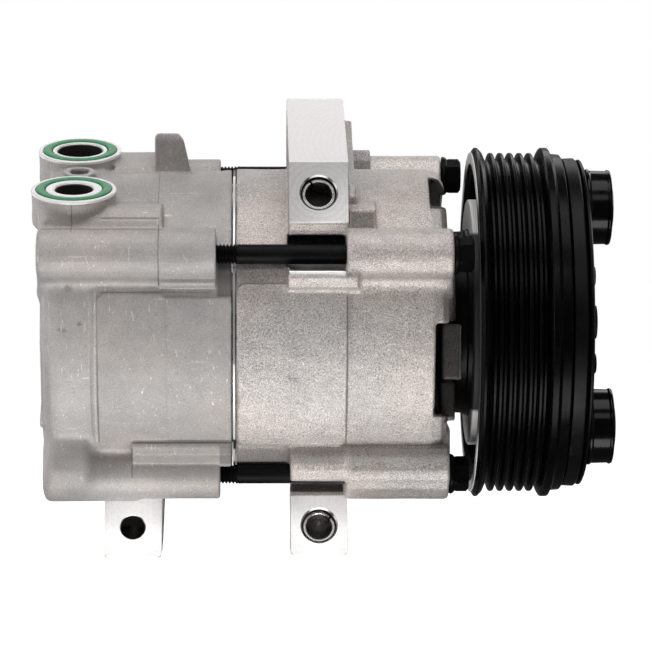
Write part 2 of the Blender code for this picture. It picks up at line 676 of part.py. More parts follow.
def build_piston(k, y, z):
    phase = math.atan2(-y, z)  # from +Z, the plate's high side, towards -Y
    centre = (
        Vector((MECH_X, 0, 0))
        + SWASH_HIGH * SHOE_CIRCLE * math.cos(phase)
        + Vector((0, -1, 0)) * SHOE_CIRCLE * math.sin(phase)
    )
    x = centre.x
    middle = (x, y, z)
    piston = turned(f"piston_{k}", PISTON_PROFILE, 14, ALUMINIUM, at=middle)
    # the window that straddles the swash plate leaves a bridge on the outer side only
    cut(piston, disc("window", -8.9, 8.9, 46.4, 24, at=(x, 0, 0)))
    for side in (-1, 1):
        join(piston, rod_x("seat", x + side * 7.2, x + side * 12.0, 8.6, 10, centre=(y, z)))
    cut(piston, ball("pocket", middle, POCKET_R, BALL_SEGS, BALL_RINGS))
    finish(piston)
    set_origin(piston, middle)
    ring(f"piston_ring_{k}", -31.1, -29.9, 14.0, 14.75, 14, PTFE, at=middle)

    for end, side in (("front", 1), ("rear", -1)):
        shoe = ball(f"{end}_shoe_{k}", centre, SHOE_R, BALL_SEGS, BALL_RINGS, STEEL)
        keep = rod("keep", centre, SWASH_NORMAL * side, SWASH_T / 2 + GAP, SHOE_R - 1.0, 14.0, 8)
        combine(shoe, keep, "INTERSECT")
        finish(shoe)
        set_origin(shoe, centre)


# ---- assembly ---------------------------------------------------------------------------------
for old_object in list(bpy.data.objects):
    bpy.data.objects.remove(old_object, do_unlink=True)

build_front_housing()
build_rear_housing()
build_fasteners_and_seals()
build_dowel("top_ear_dowel", TOP_EAR, length=10.4, slit_angle=118.0)
build_dowel("lower_ear_dowel", LOW_FRONT_EAR, length=8.0, slit_angle=42.0)
build_coil_and_nose()
build_cylinder_end("rear", -1)
build_cylinder_end("front", 1)
build_shaft_and_swash()
build_clutch_hub()
build_armature()
build_pulley()
for number, bore in enumerate(BORES, 1):
    build_piston(number, *bore)

# the origin goes to the middle of the length
for piece in bpy.data.objects:
    piece.location.x -= X_MIDDLE * MM
bpy.context.view_layer.update()
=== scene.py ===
# Swash-plate compressor with a belt pulley and a clutch, standing on a pale floor.
# X runs along the shaft and Z points up. Front means +X, where the pulley is, and rear -X.
# Near means -Y, where the camera stands, and far +Y.
# Shapes are in millimetres from the joint between the two housings; SHIFT, in metres, moves
# them to the origin of the frame.
import math

import bmesh
import bpy
import numpy as np
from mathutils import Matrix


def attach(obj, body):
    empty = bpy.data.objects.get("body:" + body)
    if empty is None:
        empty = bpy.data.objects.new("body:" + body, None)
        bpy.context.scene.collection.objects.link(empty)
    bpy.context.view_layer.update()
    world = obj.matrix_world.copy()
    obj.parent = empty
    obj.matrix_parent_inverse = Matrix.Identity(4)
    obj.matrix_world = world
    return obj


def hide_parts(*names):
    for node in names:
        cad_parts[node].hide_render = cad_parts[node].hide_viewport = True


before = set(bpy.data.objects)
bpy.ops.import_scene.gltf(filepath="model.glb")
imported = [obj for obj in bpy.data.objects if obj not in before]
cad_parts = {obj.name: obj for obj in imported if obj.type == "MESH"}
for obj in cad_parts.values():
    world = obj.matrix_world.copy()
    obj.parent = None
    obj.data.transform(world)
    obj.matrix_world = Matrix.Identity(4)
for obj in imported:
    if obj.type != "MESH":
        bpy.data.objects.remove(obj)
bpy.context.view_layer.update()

import openvdb
from mathutils import Matrix, Vector

MM = 0.001
SHIFT = Vector((-0.0326, 0.0, 0.0))
VOXEL = 0.55  # of the cast housings, mm

# ---------------------------------------------------------------------------------------
# Distance fields, in millimetres. A shape is (distance function, low corner, high corner).
# ---------------------------------------------------------------------------------------


def smooth_min(one, two, blend):
    if blend <= 0:
        return np.minimum(one, two)
    overlap = np.maximum(blend - np.abs(one - two), 0) / blend
    return np.minimum(one, two) - overlap * overlap * (blend * 0.25)


def rounded(one, two, edge):
    """Overlap of two distances, with an edge radius where they meet."""
    one, two = one + edge, two + edge
    outside = np.hypot(np.maximum(one, 0), np.maximum(two, 0))
    return np.minimum(np.maximum(one, two), 0) + outside - edge


def slab(value, start, end):
    return np.abs(value - (start + end) / 2) - (end - start) / 2


class Field:
    """Block of voxels that holds the distance to the surface of a casting."""

    def __init__(self, low, high):
        self.low = np.array(low, float)
        count = np.ceil((np.array(high, float) - self.low) / VOXEL).astype(int) + 1
        self.axes = [
            (self.low[k] + VOXEL * np.arange(count[k])).astype(np.float32) for k in range(3)
        ]
        self.distance = np.full(count, 20.0, np.float32)

    def combine(self, shape, blend, rule):
        """Change the voxels near a shape."""
        distance, low, high = shape
        margin = blend + 3.0
        part = []
        for k in range(3):
            first = math.floor((low[k] - margin - self.low[k]) / VOXEL)
            last = math.ceil((high[k] + margin - self.low[k]) / VOXEL) + 1
            part.append(slice(max(0, first), min(len(self.axes[k]), last)))
        part = tuple(part)
        grid = np.ix_(*(axis[span] for axis, span in zip(self.axes, part)))
        self.distance[part] = rule(self.distance[part], distance(*grid))

    def add(self, shape, blend=0.0):
        self.combine(shape, blend, lambda old, new: smooth_min(old, new, blend))

    def cut(self, shape, blend=0.0):
        self.combine(shape, blend, lambda old, new: -smooth_min(-old, new, blend))

    def mesh(self, name):
        grid = openvdb.FloatGrid()
        grid.background = 2.0
        grid.copyFromArray(np.clip(self.distance / VOXEL, -2.0, 2.0))
        points, _, quads = grid.convertToPolygons(isovalue=0.0)
        points = (np.asarray(points, np.float64) * VOXEL + self.low) * MM
        return quads_object(name, points, np.asarray(quads, np.int32))


def link_object(name, mesh):
    ob = bpy.data.objects.new(name, mesh)
    bpy.context.scene.collection.objects.link(ob)
    return ob


def quads_object(name, points, quads):
    """Object made of quads, turned so that its normals point outwards."""
    one, two, three, four = (points[quads[:, k]] for k in range(4))
    volume = (
        np.einsum("ij,ij->i", one, np.cross(two, three)).sum()
        + np.einsum("ij,ij->i", one, np.cross(three, four)).sum()
    )
    if volume < 0:
        quads = quads[:, ::-1]
    mesh = bpy.data.meshes.new(name)
    mesh.vertices.add(len(points))
    mesh.vertices.foreach_set("co", points.astype(np.float32).ravel())
    mesh.loops.add(len(quads) * 4)
    mesh.loops.foreach_set("vertex_index", np.ascontiguousarray(quads).ravel())
    mesh.polygons.add(len(quads))
    mesh.polygons.foreach_set("loop_start", np.arange(0, len(quads) * 4, 4, dtype=np.int32))
    mesh.update(calc_edges=True)
    mesh.validate()
    mesh.shade_smooth()
    return link_object(name, mesh)


def signed_area(points):
    return 0.5 * sum(
        points[i - 1][0] * points[i][1] - points[i][0] * points[i - 1][1]
        for i in range(len(points))
    )


def unit(vector):
    return vector / np.linalg.norm(vector)


def inset(outline, depth):
    """Outline moved inwards by depth."""
    if depth <= 0:
        return [tuple(point) for point in outline]
    points = [np.array(point, float) for point in outline]
    if signed_area(points) < 0:
        points = points[::-1]
    moved = []
    for i, here in enumerate(points):
        before = unit(here - points[i - 1])
        after = unit(points[(i + 1) % len(points)] - here)
        normal = np.array([-before[1], before[0]])
        middle = normal + np.array([-after[1], after[0]])
        middle = middle / max(np.linalg.norm(middle), 1e-6)
        moved.append(tuple(here + middle * (depth / max(0.35, float(middle @ normal)))))
    return moved


def outline_distance(outline, across, up):
    """Signed distance from an outline to the points (across, up)."""
    nearest = np.full(np.broadcast(across, up).shape, 1e9, np.float32)
    inside = np.zeros(nearest.shape, bool)
    for i, (x2, y2) in enumerate(outline):
        x1, y1 = outline[i - 1]
        side_x, side_y = x2 - x1, y2 - y1
        off_x, off_y = across - x1, up - y1
        length = max(side_x * side_x + side_y * side_y, 1e-9)
        share = np.clip((off_x * side_x + off_y * side_y) / length, 0, 1)
        gap = (off_x - side_x * share) ** 2 + (off_y - side_y * share) ** 2
        nearest = np.minimum(nearest, gap)
        crosses = ((up >= y1) & (up < y2)) | ((up >= y2) & (up < y1))
        left = (side_x * off_y - side_y * off_x) > 0
        inside ^= crosses & (left == (y2 > y1))
    nearest = np.sqrt(nearest)
    return np.where(inside, -nearest, nearest)


def prism(outline, start, end, edge, corner, axis=0):
    """Prism along X with an outline of (y, z), or along Y (axis 1) with one of (x, z)."""
    small = inset(outline, corner)

    def distance(x, y, z):
        along, across = (x, y) if axis == 0 else (y, x)
        return rounded(
            slab(along, start, end), outline_distance(small, across, z) - corner, edge
        )

    low = [min(point[k] for point in outline) for k in range(2)]
    high = [max(point[k] for point in outline) for k in range(2)]
    low.insert(axis, start)
    high.insert(axis, end)
    return distance, low, high


def lathe(profile, corner=0.0):
    """Closed (x, radius) outline turned about the X axis."""
    small = inset(profile, corner)
    xs = [point[0] for point in profile]
    top = max(point[1] for point in profile)

    def distance(x, y, z):
        radius = np.hypot(y, z)[0]
        samples = np.arange(0.0, float(radius.max()) + 0.3, 0.15)
        table = outline_distance(small, x[:, 0, 0][:, None], samples[None, :]) - corner
        out = np.empty((x.shape[0],) + radius.shape, np.float32)
        for i in range(x.shape[0]):
            out[i] = np.interp(radius, samples, table[i])
        return out

    return distance, (min(xs), -top, -top), (max(xs), top, top)


def rod(point, direction, start, end, radius, end_radius=None, edge=0.0):
    """Cylinder or cone between two distances from a point along a direction."""
    point, direction = np.array(point, float), unit(np.array(direction, float))
    end_radius = radius if end_radius is None else end_radius

    def distance(x, y, z):
        dx, dy, dz = x - point[0], y - point[1], z - point[2]
        along = dx * direction[0] + dy * direction[1] + dz * direction[2]
        out = np.sqrt(np.maximum(dx * dx + dy * dy + dz * dz - along * along, 0))
        share = np.clip((along - start) / (end - start), 0, 1)
        want = radius + (end_radius - radius) * share
        return rounded(slab(along, start, end), out - want, edge)

    ends = [point + direction * start, point + direction * end]
    big = max(radius, end_radius)
    low = [min(place[k] for place in ends) - big for k in range(3)]
    high = [max(place[k] for place in ends) + big for k in range(3)]
    return distance, low, high


def box(low, high, edge):
    def distance(*grid):
        sides = [slab(v, low[k], high[k]) + edge for k, v in enumerate(grid)]
        inner = np.maximum(np.maximum(sides[0], sides[1]), sides[2])
        outer = np.sqrt(sum(np.maximum(side, 0) ** 2 for side in sides))
        return np.minimum(inner, 0) + outer - edge

    return distance, low, high


def skin(radius, x1, x2, z1, z2, edge):
    """Raised skin on the near side of a drum, between two stations and two heights."""
    y_max, corner = -20, 3.0

    def distance(x, y, z):
        sides = np.maximum(slab(x, x1, x2), y - y_max)
        return rounded(
            np.hypot(y, z) - radius, rounded(sides, slab(z, z1, z2), corner), edge
        )

    return distance, (x1, -radius, z1), (x2, y_max, z2)


# ---------------------------------------------------------------------------------------
# Shared places and directions
# ---------------------------------------------------------------------------------------


def around(angle, radius):
    """(y, z) at an angle from the near side, turning upwards."""
    turn = math.radians(angle)
    return -radius * math.cos(turn), radius * math.sin(turn)


def yz(point):
    return (float(point[1]), float(point[2]))


TILT = math.radians(20.0)  # of the ear faces and of the ports
COS, SIN = math.cos(TILT), math.sin(TILT)
EAR_OUT = np.array([0.0, -COS, SIN])
EAR_UP = np.array([0.0, SIN, COS])
PORT_OUT = np.array([0.0, -SIN, COS])
PORT_ALONG = np.array([0.0, COS, SIN])

# clamp bolts as (y, z)
BOLTS = NEAR_UP, TOP_FAR, FAR_LOW, BOTTOM = [
    around(angle, 60.0) for angle in (23.5, 113.5, 203.5, 293.5)
]
HUB_ANGLES = (65.0, 185.0, 305.0)
CUPS = [around(angle, 46.0) for angle in HUB_ANGLES]
RIVETS = [around(angle, 18.5) for angle in HUB_ANGLES]

# bore centres on the ear faces
EAR_TOP = np.array([30.1, -52.0, 45.8])
EAR_LOW_F = np.array([31.0, -14.0, -74.3])
EAR_LOW_R = np.array([-37.0, -14.0, -74.9])

# upper edge of the top ear's face, and the sloping plane that runs from it to the far side
EAR_HALF = 11.75
TOP_EDGE = EAR_TOP + EAR_UP * EAR_HALF
TOP_FAR_END = np.array([30.1, 22.6, 84.1])
TOP_ALONG = unit(TOP_FAR_END - TOP_EDGE)
TOP_OUT = np.array([0.0, -TOP_ALONG[2], TOP_ALONG[1]])

PORT_PITCH = 47.0
PORT_RADIUS = 15.0
PORT_F = np.array([-57.0, -42.2, 47.5])
PORT_R = PORT_F + PORT_ALONG * PORT_PITCH
PORTS = (("front", PORT_F, 6.6), ("rear", PORT_R, 8.1))  # label, centre, bore radius
STUD_HOLE = PORT_F + PORT_ALONG * (PORT_PITCH / 2) + np.array([0.8, 0, 0])

# ---------------------------------------------------------------------------------------
# Features that both housings share
# ---------------------------------------------------------------------------------------


def boss(centre, radius):
    """Outline of a bolt boss: a round nose on a foot that widens towards the shaft."""
    centre = np.array(centre)
    out = centre / math.hypot(*centre)
    side = np.array([-out[1], out[0]])
    points = []
    for i in range(15):
        turn = math.radians(-97.0 + 194.0 * i / 14)
        points.append(centre + (out * math.cos(turn) + side * math.sin(turn)) * radius)
    foot = centre * 0.78
    points += [foot + side * radius * 1.2, foot - side * radius * 1.2]
    return [tuple(point) for point in points]


def add_prisms(field, rows):
    """Rows are x start, x end, edge radius, corner radius, blend, outline of (y, z)."""
    for start, end, edge, corner, blend, outline in rows:
        field.add(prism(outline, start, end, edge, corner), blend)


def rib(angle, inner, outer, half_width):
    """Outline of a spoke between two radii."""
    spoke = np.array(around(angle, 1.0))
    side = np.array([-spoke[1], spoke[0]]) * half_width
    low, high = spoke * inner, spoke * outer
    return [tuple(low + side), tuple(high + side), tuple(high - side), tuple(low - side)]


def ear_corner(centre, corner_x, rear, radius):
    """Space that is kept when a lower corner of an ear's face is rounded."""

    def distance(x, y, z):
        down = -((y - centre[1]) * EAR_UP[1] + (z - centre[2]) * EAR_UP[2])
        side = (corner_x - x) if rear else (x - corner_x)
        gap = np.hypot(np.maximum(down, 0), np.maximum(side, 0)) - radius
        return np.where((down > 0) & (side > 0), gap, -9.0).astype(np.float32)

    x1, x2 = (corner_x - 6, corner_x + 2) if rear else (corner_x - 2, corner_x + 6)
    low = (x1, centre[1] - 6, centre[2] - 12)
    return distance, low, (x2, centre[1] + 28, centre[2] + 4)


def add_lower_ear(field, face, x1, x2, drop, foot_z, corner_drop):
    """Ear from a point drop below the bore up into the drum, with rounded lower corners."""
    outline = [
        yz(face - EAR_UP * drop), yz(face + EAR_UP * 21.5),
        (-2.0, -50.0), (14.0, -50.0), (13.0, -70.0), (6.0, foot_z),
    ]
    field.add(prism(outline, x1, x2, 0.25, 0.3), 0.5)
    radius = 2.2
    centre = face - EAR_UP * corner_drop
    for rear, corner_x in ((True, x1 + radius), (False, x2 - radius)):
        field.combine(ear_corner(centre, corner_x, rear, radius), 1.0, np.maximum)


def mill(field, point, out, along, start, end, x1, x2):
    """Cut away everything in front of a machined plane."""
    low, high = point + along * start, point + along * end
    outline = [yz(low), yz(high), yz(high + out * 3.0), yz(low + out * 3.0)]
    field.cut(prism(outline, x1, x2, 0.0, 0.0))


def cut_bolt_holes(field, start, end):
    for y, z in BOLTS:
        field.cut(rod((0, y, z), (1, 0, 0), start, end, 3.85))


def cast_waves(field, size):
    """Slow waviness of a cast surface."""
    x, y, z = np.ix_(*field.axes)
    broad = size * np.sin(x * 0.31 + 1.0) * np.sin(z * 0.27 + y * 0.11 + 2.0)
    field.distance += broad.astype(np.float32)
    tight = size * 0.6 * np.sin(x * 0.13 + z * 0.71 + 0.5) * np.sin(y * 0.53 - z * 0.19)
    field.distance += tight.astype(np.float32)


# ---------------------------------------------------------------------------------------
# Front housing
# ---------------------------------------------------------------------------------------


def front_drum(field):
    field.add(lathe([
        (0.8, 0), (0.8, 56.4), (70.5, 56.4), (74.2, 55.2), (76.5, 51.5), (76.5, 34.0),
        (79.2, 32.4), (79.2, 30.0), (83.0, 29.0), (83.0, 17.2), (112.0, 17.2), (112.0, 0),
    ]))
    # recess in the front face, with five ribs
    field.cut(lathe([(75.0, 36.0), (75.0, 50.0), (78.0, 50.5), (78.0, 35.5)], 0.6), 1.0)
    for k in range(5):
        field.add(prism(rib(20 + 72 * k, 35.26, 50.31, 1.29), 70, 76.6, 0.4, 0.4), 1.5)
    field.add(skin(57.4, 1.2, 40.1, -44.5, 13.6, 0.5), 0.5)


def front_bosses(field):
    add_prisms(field, [
        (39.8, 77.6, 1.3, 0.4, 4.0, boss(NEAR_UP, 9.2)),
        (50.4, 77.2, 0.9, 0.4, 3.0, boss(TOP_FAR, 7.6)),
        (39.6, 77.6, 1.3, 0.4, 4.0, boss(FAR_LOW, 9.2)),
        (40.2, 77.4, 1.3, 0.4, 4.0, boss(BOTTOM, 9.0)),
    ])
    # recess in the front end above the near boss
    recess = [(-62.0, 41.4), (-20.0, 41.4), (-20.0, 51.5), (-62.0, 51.5)]
    field.cut(prism(recess, 70.6, 84.0, 1.2, 1.2), 1.0)
    # lips beside the near and bottom bolts
    add_prisms(field, [
        (19.2, 44.0, 0.5, 1.2, 2.2,
         [(-48, 10.5), (-60.6, 12.0), (-62.6, 15.5), (-62.0, 18.3), (-60.2, 19.8), (-50, 19.6)]),
        (20.2, 77.2, 0.8, 1.6, 2.2,
         [(-28, -44.6), (-37.0, -45.4), (-39.4, -48.0), (-38.9, -53.5), (-36.4, -57.0),
          (-30.0, -57.6), (-24, -50.0)]),
        (39.7, 77.2, 0.8, 2.0, 0.8,
         [(-28, -48.0), (-38.6, -51.0), (-37.6, -56.0), (-34.2, -60.2), (-29.0, -63.0),
          (-22.0, -64.2), (-14, -60.0), (-18, -50.0)]),
    ])


def front_ears(field):
    add_prisms(field, [
        # top ear
        (19.5, 40.7, 0.25, 0.25, 0.6,
         [yz(EAR_TOP - EAR_UP * EAR_HALF), yz(TOP_EDGE), (22.6, 84.1), (27.0, 82.6),
          (35.0, 61.0), (36.0, 38.0), (0.0, 46.0), (-42.0, 30.6), (-54.2, 30.6),
          (-54.4, 32.9), (-55.1, 33.2), (-55.0, 34.1)]),
        # web on its front side, and the cast blocks in front of it
        (40.0, 43.6, 0.5, 1.2, 1.2,
         [(-40, 34), (-44.5, 44.5), (-41.0, 49.0), (-10, 61.3), (13.5, 75.2), (21.5, 74.6),
          (33.0, 50.0), (0, 45)]),
        (39.5, 44.6, 0.7, 1.5, 1.5, [(-34, 30), (-44.6, 35.5), (-42.0, 44.5), (-30, 50.0)]),
        (43.0, 50.6, 0.4, 0.5, 0.6,
         [(10, 45), (12.6, 60.2), (13.4, 64.3), (31.0, 65.0), (33.5, 61.0), (34.0, 40.0)]),
        (41.0, 50.6, 0.45, 0.5, 0.5, [(-36, 30), (-48.6, 33.0), (-47.6, 40.2), (-36, 43.5)]),
    ])
    add_lower_ear(field, EAR_LOW_F, 20.6, 41.4, 11.5, -84.6, 9.3)
    # slot between the lower ear and the drum
    slot = [
        (-44.0, -57.9), (-44.0, -64.0), (-14.0, -63.6), (-9.2, -63.0), (-3.0, -60.4),
        (-1.0, -57.6), (-20.0, -57.9),
    ]
    field.cut(prism(slot, 18.0, 39.9, 0.3, 0.6), 1.2)


def front_notch(field):
    """Notch in the near side of the front end, with its pads."""
    field.cut(box((71.4, -62.0, -33.0), (82.0, -18.0, -0.4), 1.2), 0.8)
    field.add(box((74.8, -34.0, -20.6), (79.4, -16.0, -0.6), 0.5), 0.2)
    field.add(box((74.6, -37.2, -20.8), (81.6, -34.3, -0.8), 1.1), 1.2)
    field.add(box((74.0, -37.6, -35.4), (79.3, -24.0, -21.5), 0.6), 0.4)


def front_casting():
    field = Field((-1.5, -68.5, -88.5), (114.0, 67.5, 88.0))
    front_drum(field)
    front_bosses(field)
    front_ears(field)
    front_notch(field)
    cast_waves(field, 0.05)
    mill(field, EAR_TOP, EAR_OUT, EAR_UP, -11.4, 14.0, 17.0, 43.0)
    mill(field, TOP_EDGE, TOP_OUT, TOP_ALONG, -3.0, 77.0, 17.0, 43.4)
    mill(field, EAR_LOW_F, EAR_OUT, EAR_UP, -15.0, 11.6, 18.0, 43.0)
    # hollow
    field.cut(lathe([
        (-5, 0), (-5, 52.5), (66.0, 52.5), (66.0, 12.5), (115.0, 12.5), (115.0, 0),
    ]))
    # pocket under the top ear, with the lip below it
    field.cut(box((19.6, -66, 17.2), (39.5, -43.5, 30.8), 1.2), 0.6)
    lip = [(-52.4, 11.0), (-60.6, 12.0), (-62.6, 15.5), (-62.0, 18.0), (-60.4, 18.4), (-51.4, 17.8)]
    field.add(prism(lip, 19.2, 44.0, 0.4, 0.4))
    cut_bolt_holes(field, -3, 90)
    for face, depth in ((EAR_TOP, 12.5), (EAR_LOW_F, 10.2)):
        field.cut(rod(face, -EAR_OUT, -3, depth, 6.9))
    return field.mesh("front_casting")


# ---------------------------------------------------------------------------------------
# Rear housing
# ---------------------------------------------------------------------------------------


def rear_drum(field):
    field.add(lathe([
        (-67.8, 0), (-67.8, 50.3), (-67.0, 53.2), (-65.2, 55.0), (-62.6, 55.8), (-0.8, 55.8),
        (-0.8, 0),
    ]))
    field.add(skin(56.4, -50.4, -24.0, -47.0, 11.6, 0.5), 0.8)
    field.add(skin(57.1, -48.3, -24.0, -47.0, 10.4, 0.3), 0.4)
    field.add(skin(56.9, -34.0, -0.9, -47.0, 8.8, 0.4), 0.4)
    # rim at the joint
    field.add(lathe([(-4.0, 50.0), (-4.0, 56.0), (-0.85, 56.0), (-0.85, 50.0)], 0.2))


def rear_bosses(field):
    add_prisms(field, [
        # near boss in two lengths, with a ledge under the front one
        (-69.4, -26.0, 1.8, 0.6, 3.6, boss(NEAR_UP, 9.1)),
        (-26.4, -6.3, 0.35, 0.6, 0.5, boss(NEAR_UP, 9.35)),
        (-26.4, -6.4, 0.35, 0.8, 0.6,
         [(-48.0, 12.0), (-57.6, 12.2), (-59.0, 13.6), (-58.8, 18.0), (-50.0, 24.0)]),
        # other bosses
        (-41.3, -19.0, 0.9, 0.4, 2.0, boss(TOP_FAR, 7.6)),
        (-20.0, -5.2, 0.6, 0.4, 2.0, boss(TOP_FAR, 6.2)),
        (-69.2, -6.3, 1.6, 0.5, 4.0, boss(FAR_LOW, 9.2)),
        (-67.4, -5.1, 1.2, 0.5, 2.0, boss(BOTTOM, 8.8)),
    ])
    # round columns over the bottom boss
    along = (1, 0, 0)
    field.add(rod((0, -26.6, -54.6), along, -67.4, -34.6, 9.6, edge=1.8), 3.5)
    field.add(rod((0, -26.6, -54.6), along, -36.4, -5.1, 9.2, edge=0.5), 0.5)
    field.add(rod((0, -29.6, -50.6), along, -66.4, -51.5, 10.6, edge=3.0), 5.0)
    # ledge over the front half of the bottom boss
    ledge = [(-30.0, -40.0), (-38.6, -42.9), (-39.6, -44.2), (-38.8, -47.5), (-34.0, -52.0), (-26, -50)]
    field.add(prism(ledge, -36.4, -0.9, 0.6, 0.7), 0.4)


def rear_ports(field):
    inward, radius = -PORT_OUT, PORT_RADIUS
    for _, port, _ in PORTS:
        field.add(rod(port, inward, 0.9, 12.5, radius + 0.1, radius - 0.2, edge=0.3), 0.8)
        field.add(rod(port, inward, 8.0, 30.0, radius - 1.6, radius - 3.5, edge=2.5), 3.5)
    bridge_top = PORT_OUT * -4.2
    add_prisms(field, [
        # bridge between the ports
        (-67.0, -46.8, 1.4, 1.2, 1.5,
         [yz(PORT_F + bridge_top + PORT_ALONG * 4), yz(PORT_R + bridge_top - PORT_ALONG * 4),
          yz(PORT_R - PORT_OUT * 26.0), yz(PORT_F - PORT_OUT * 26.0)]),
    ])
    field.add(rod(STUD_HOLE, inward, 3.0, 14.0, 6.0, 7.0, edge=0.4), 1.2)
    add_prisms(field, [
        # column under the front port
        (-68.2, -56.5, 2.2, 2.2, 3.0,
         [(-38, 30), (-51.8, 31.0), (-52.4, 36.0), (-48.6, 42.0), (-38.0, 46.0)]),
        # stepped shoulder
        (-57.4, -25.3, 0.35, 0.5, 0.6, [(-38, 26), (-54.6, 30.0), (-52.6, 36.6), (-36.0, 40.0)]),
        (-57.4, -25.5, 0.35, 0.5, 0.4, [(-38, 30), (-52.6, 36.4), (-49.2, 40.6), (-36.0, 42.8)]),
    ])
    groove = [(-56.0, 36.35), (-52.1, 36.25), (-52.1, 36.75), (-56.0, 36.85)]
    field.cut(prism(groove, -47.0, -27.0, 0.1, 0.1), 0.3)


def rear_lugs(field):
    # top lug and its broad foot
    lug = [
        (-29.0, 46), (-29.0, 67.6), (-28.0, 69.0), (-20.4, 69.0), (-18.6, 66.8),
        (-14.4, 48.5), (-14.2, 45),
    ]
    field.add(prism(lug, -13.0, 12.0, 0.45, 0.8, axis=1), 0.8)
    foot = [(-10, 48), (-10, 56.5), (14, 63.4), (26, 63.4), (26, 45)]
    field.add(prism(foot, -44.0, -26.0, 0.8, 1.0), 1.0)
    # lower ear, with a thin web on its front side
    add_lower_ear(field, EAR_LOW_R, -47.4, -26.6, 11.7, -84.8, 9.5)
    web = [(-27.2, -50), (-25.0, -50), (-26.5, -82), (-27.4, -82)]
    field.add(prism(web, -5.0, 8.0, 0.4, 0.4, axis=1), 0.5)


def rear_wall(field):
    """Ribs, middle pad and outer ring on the rear wall."""
    for k in range(6):
        field.add(prism(rib(12 + 60 * k, 14.0, 50.0, 1.6), -69.6, -66.0, 0.6, 0.6), 1.2)
    field.add(lathe([(-70.2, 0), (-70.2, 15.0), (-66.0, 16.0), (-66.0, 0)], 0.8), 1.5)
    field.cut(lathe([(-72.0, 0), (-72.0, 9.0), (-68.9, 8.5), (-68.9, 0)], 0.3), 0.3)
    field.add(lathe([(-68.8, 45.0), (-68.8, 48.5), (-66.0, 49.5), (-66.0, 44.0)], 0.4), 1.0)


def rear_casting():
    field = Field((-76.0, -68.5, -88.5), (1.5, 67.5, 73.5))
    rear_drum(field)
    rear_bosses(field)
    rear_ports(field)
    rear_lugs(field)
    rear_wall(field)
    cast_waves(field, 0.04)
    mill(field, EAR_LOW_R, EAR_OUT, EAR_UP, -15.0, 15.0, -50.0, -24.0)
    # hollow
    field.cut(lathe([(-64.0, 0), (-64.0, 48.5), (-61.0, 52.5), (5, 52.5), (5, 0)]))
    cut_bolt_holes(field, -34, 3)
    for _, port, bore in PORTS:
        field.cut(rod(port, -PORT_OUT, -3, 30, bore + 0.3))
    field.cut(rod(STUD_HOLE, -PORT_OUT, -3, 18, 3.7))
    field.cut(rod(EAR_LOW_R, -EAR_OUT, -3, 14.2, 5.1))
    return field.mesh("rear_casting")


# ---------------------------------------------------------------------------------------
# Turned and formed pieces. A profile lists (x, radius) or (x, radius, fillet radius).
# ---------------------------------------------------------------------------------------


def fillet(profile, default, closed=True):
    """Profile with its corners turned into small arcs."""
    steps = 4
    points = [np.array(row[:2], float) for row in profile]
    out = []
    count = len(points)
    for i, here in enumerate(points):
        before, after = points[i - 1] - here, points[(i + 1) % count] - here
        length1, length2 = np.linalg.norm(before), np.linalg.norm(after)
        at_end = not closed and i in (0, count - 1)
        if at_end or length1 < 1e-6 or length2 < 1e-6:
            out.append(tuple(here))
            continue
        before, after = before / length1, after / length2
        half = math.acos(float(np.clip(before @ after, -1, 1))) / 2
        radius = profile[i][2] if len(profile[i]) > 2 else default
        if radius <= 0 or half > math.radians(87):
            out.append(tuple(here))
            continue
        tangent = min(radius / math.tan(half), length1 * 0.45, length2 * 0.45)
        radius = tangent * math.tan(half)
        centre = here + unit(before + after) * (radius / math.sin(half))
        first, last = here + before * tangent - centre, here + after * tangent - centre
        sign = 1 if first[0] * last[1] - first[1] * last[0] > 0 else -1
        for k in range(steps + 1):
            turn = sign * (math.pi - 2 * half) * k / steps
            cos, sin = math.cos(turn), math.sin(turn)
            x = centre[0] + first[0] * cos - first[1] * sin
            out.append((float(x), float(centre[1] + first[0] * sin + first[1] * cos)))
    return out


def circle_vert(bm, x, radius, turn, centre):
    y = centre[0] - radius * math.cos(turn)
    z = centre[1] + radius * math.sin(turn)
    return bm.verts.new((x * MM, y * MM, z * MM))


def bridge(bm, one, two):
    """Quads between two closed loops of vertices."""
    for i in range(len(one)):
        j = (i + 1) % len(one)
        bm.faces.new((one[i], one[j], two[j], two[i]))


def bm_object(name, bm, smooth=30.0):
    """Object with edges sharper than the angle smooth, in degrees, kept sharp."""
    bmesh.ops.recalc_face_normals(bm, faces=bm.faces)
    mesh = bpy.data.meshes.new(name)
    bm.to_mesh(mesh)
    bm.free()
    mesh.shade_smooth()
    mesh.set_sharp_from_angle(angle=math.radians(smooth))
    return link_object(name, mesh)


def spin(name, profile, segments, radius, centre=(0.0, 0.0), closed=True, warp=None, smooth=30.0):
    """Profile with corners of a radius, turned about a line along X through centre (y, z)."""
    bm = bmesh.new()
    rings = []
    for x, out in fillet(profile, radius, closed):
        if out < 1e-5:
            rings.append([circle_vert(bm, x, 0.0, 0.0, centre)])
            continue
        ring = []
        for i in range(segments):
            turn = 2 * math.pi * i / segments
            reach = out if warp is None else warp(x, out, turn)
            ring.append(circle_vert(bm, x, reach, turn, centre))
        rings.append(ring)
    pairs = list(zip(rings, rings[1:]))
    if closed:
        pairs.append((rings[-1], rings[0]))
    for one, two in pairs:
        if len(one) == len(two):
            if len(one) > 1:
                bridge(bm, one, two)
            continue
        for i in range(segments):
            j = (i + 1) % segments
            if len(one) == 1:
                bm.faces.new((one[0], two[i], two[j]))
            else:
                bm.faces.new((one[i], one[j], two[0]))
    return bm_object(name, bm, smooth)


def hexagon(flat, x_min, turned=0.0):
    """Warp that trims a turned piece beyond x_min to a hexagon, flat being half its width."""

    def warp(x, radius, turn):
        if x < x_min:
            return radius
        return min(radius, flat / math.cos((turn + turned) % (math.pi / 3) - math.pi / 6))

    return warp


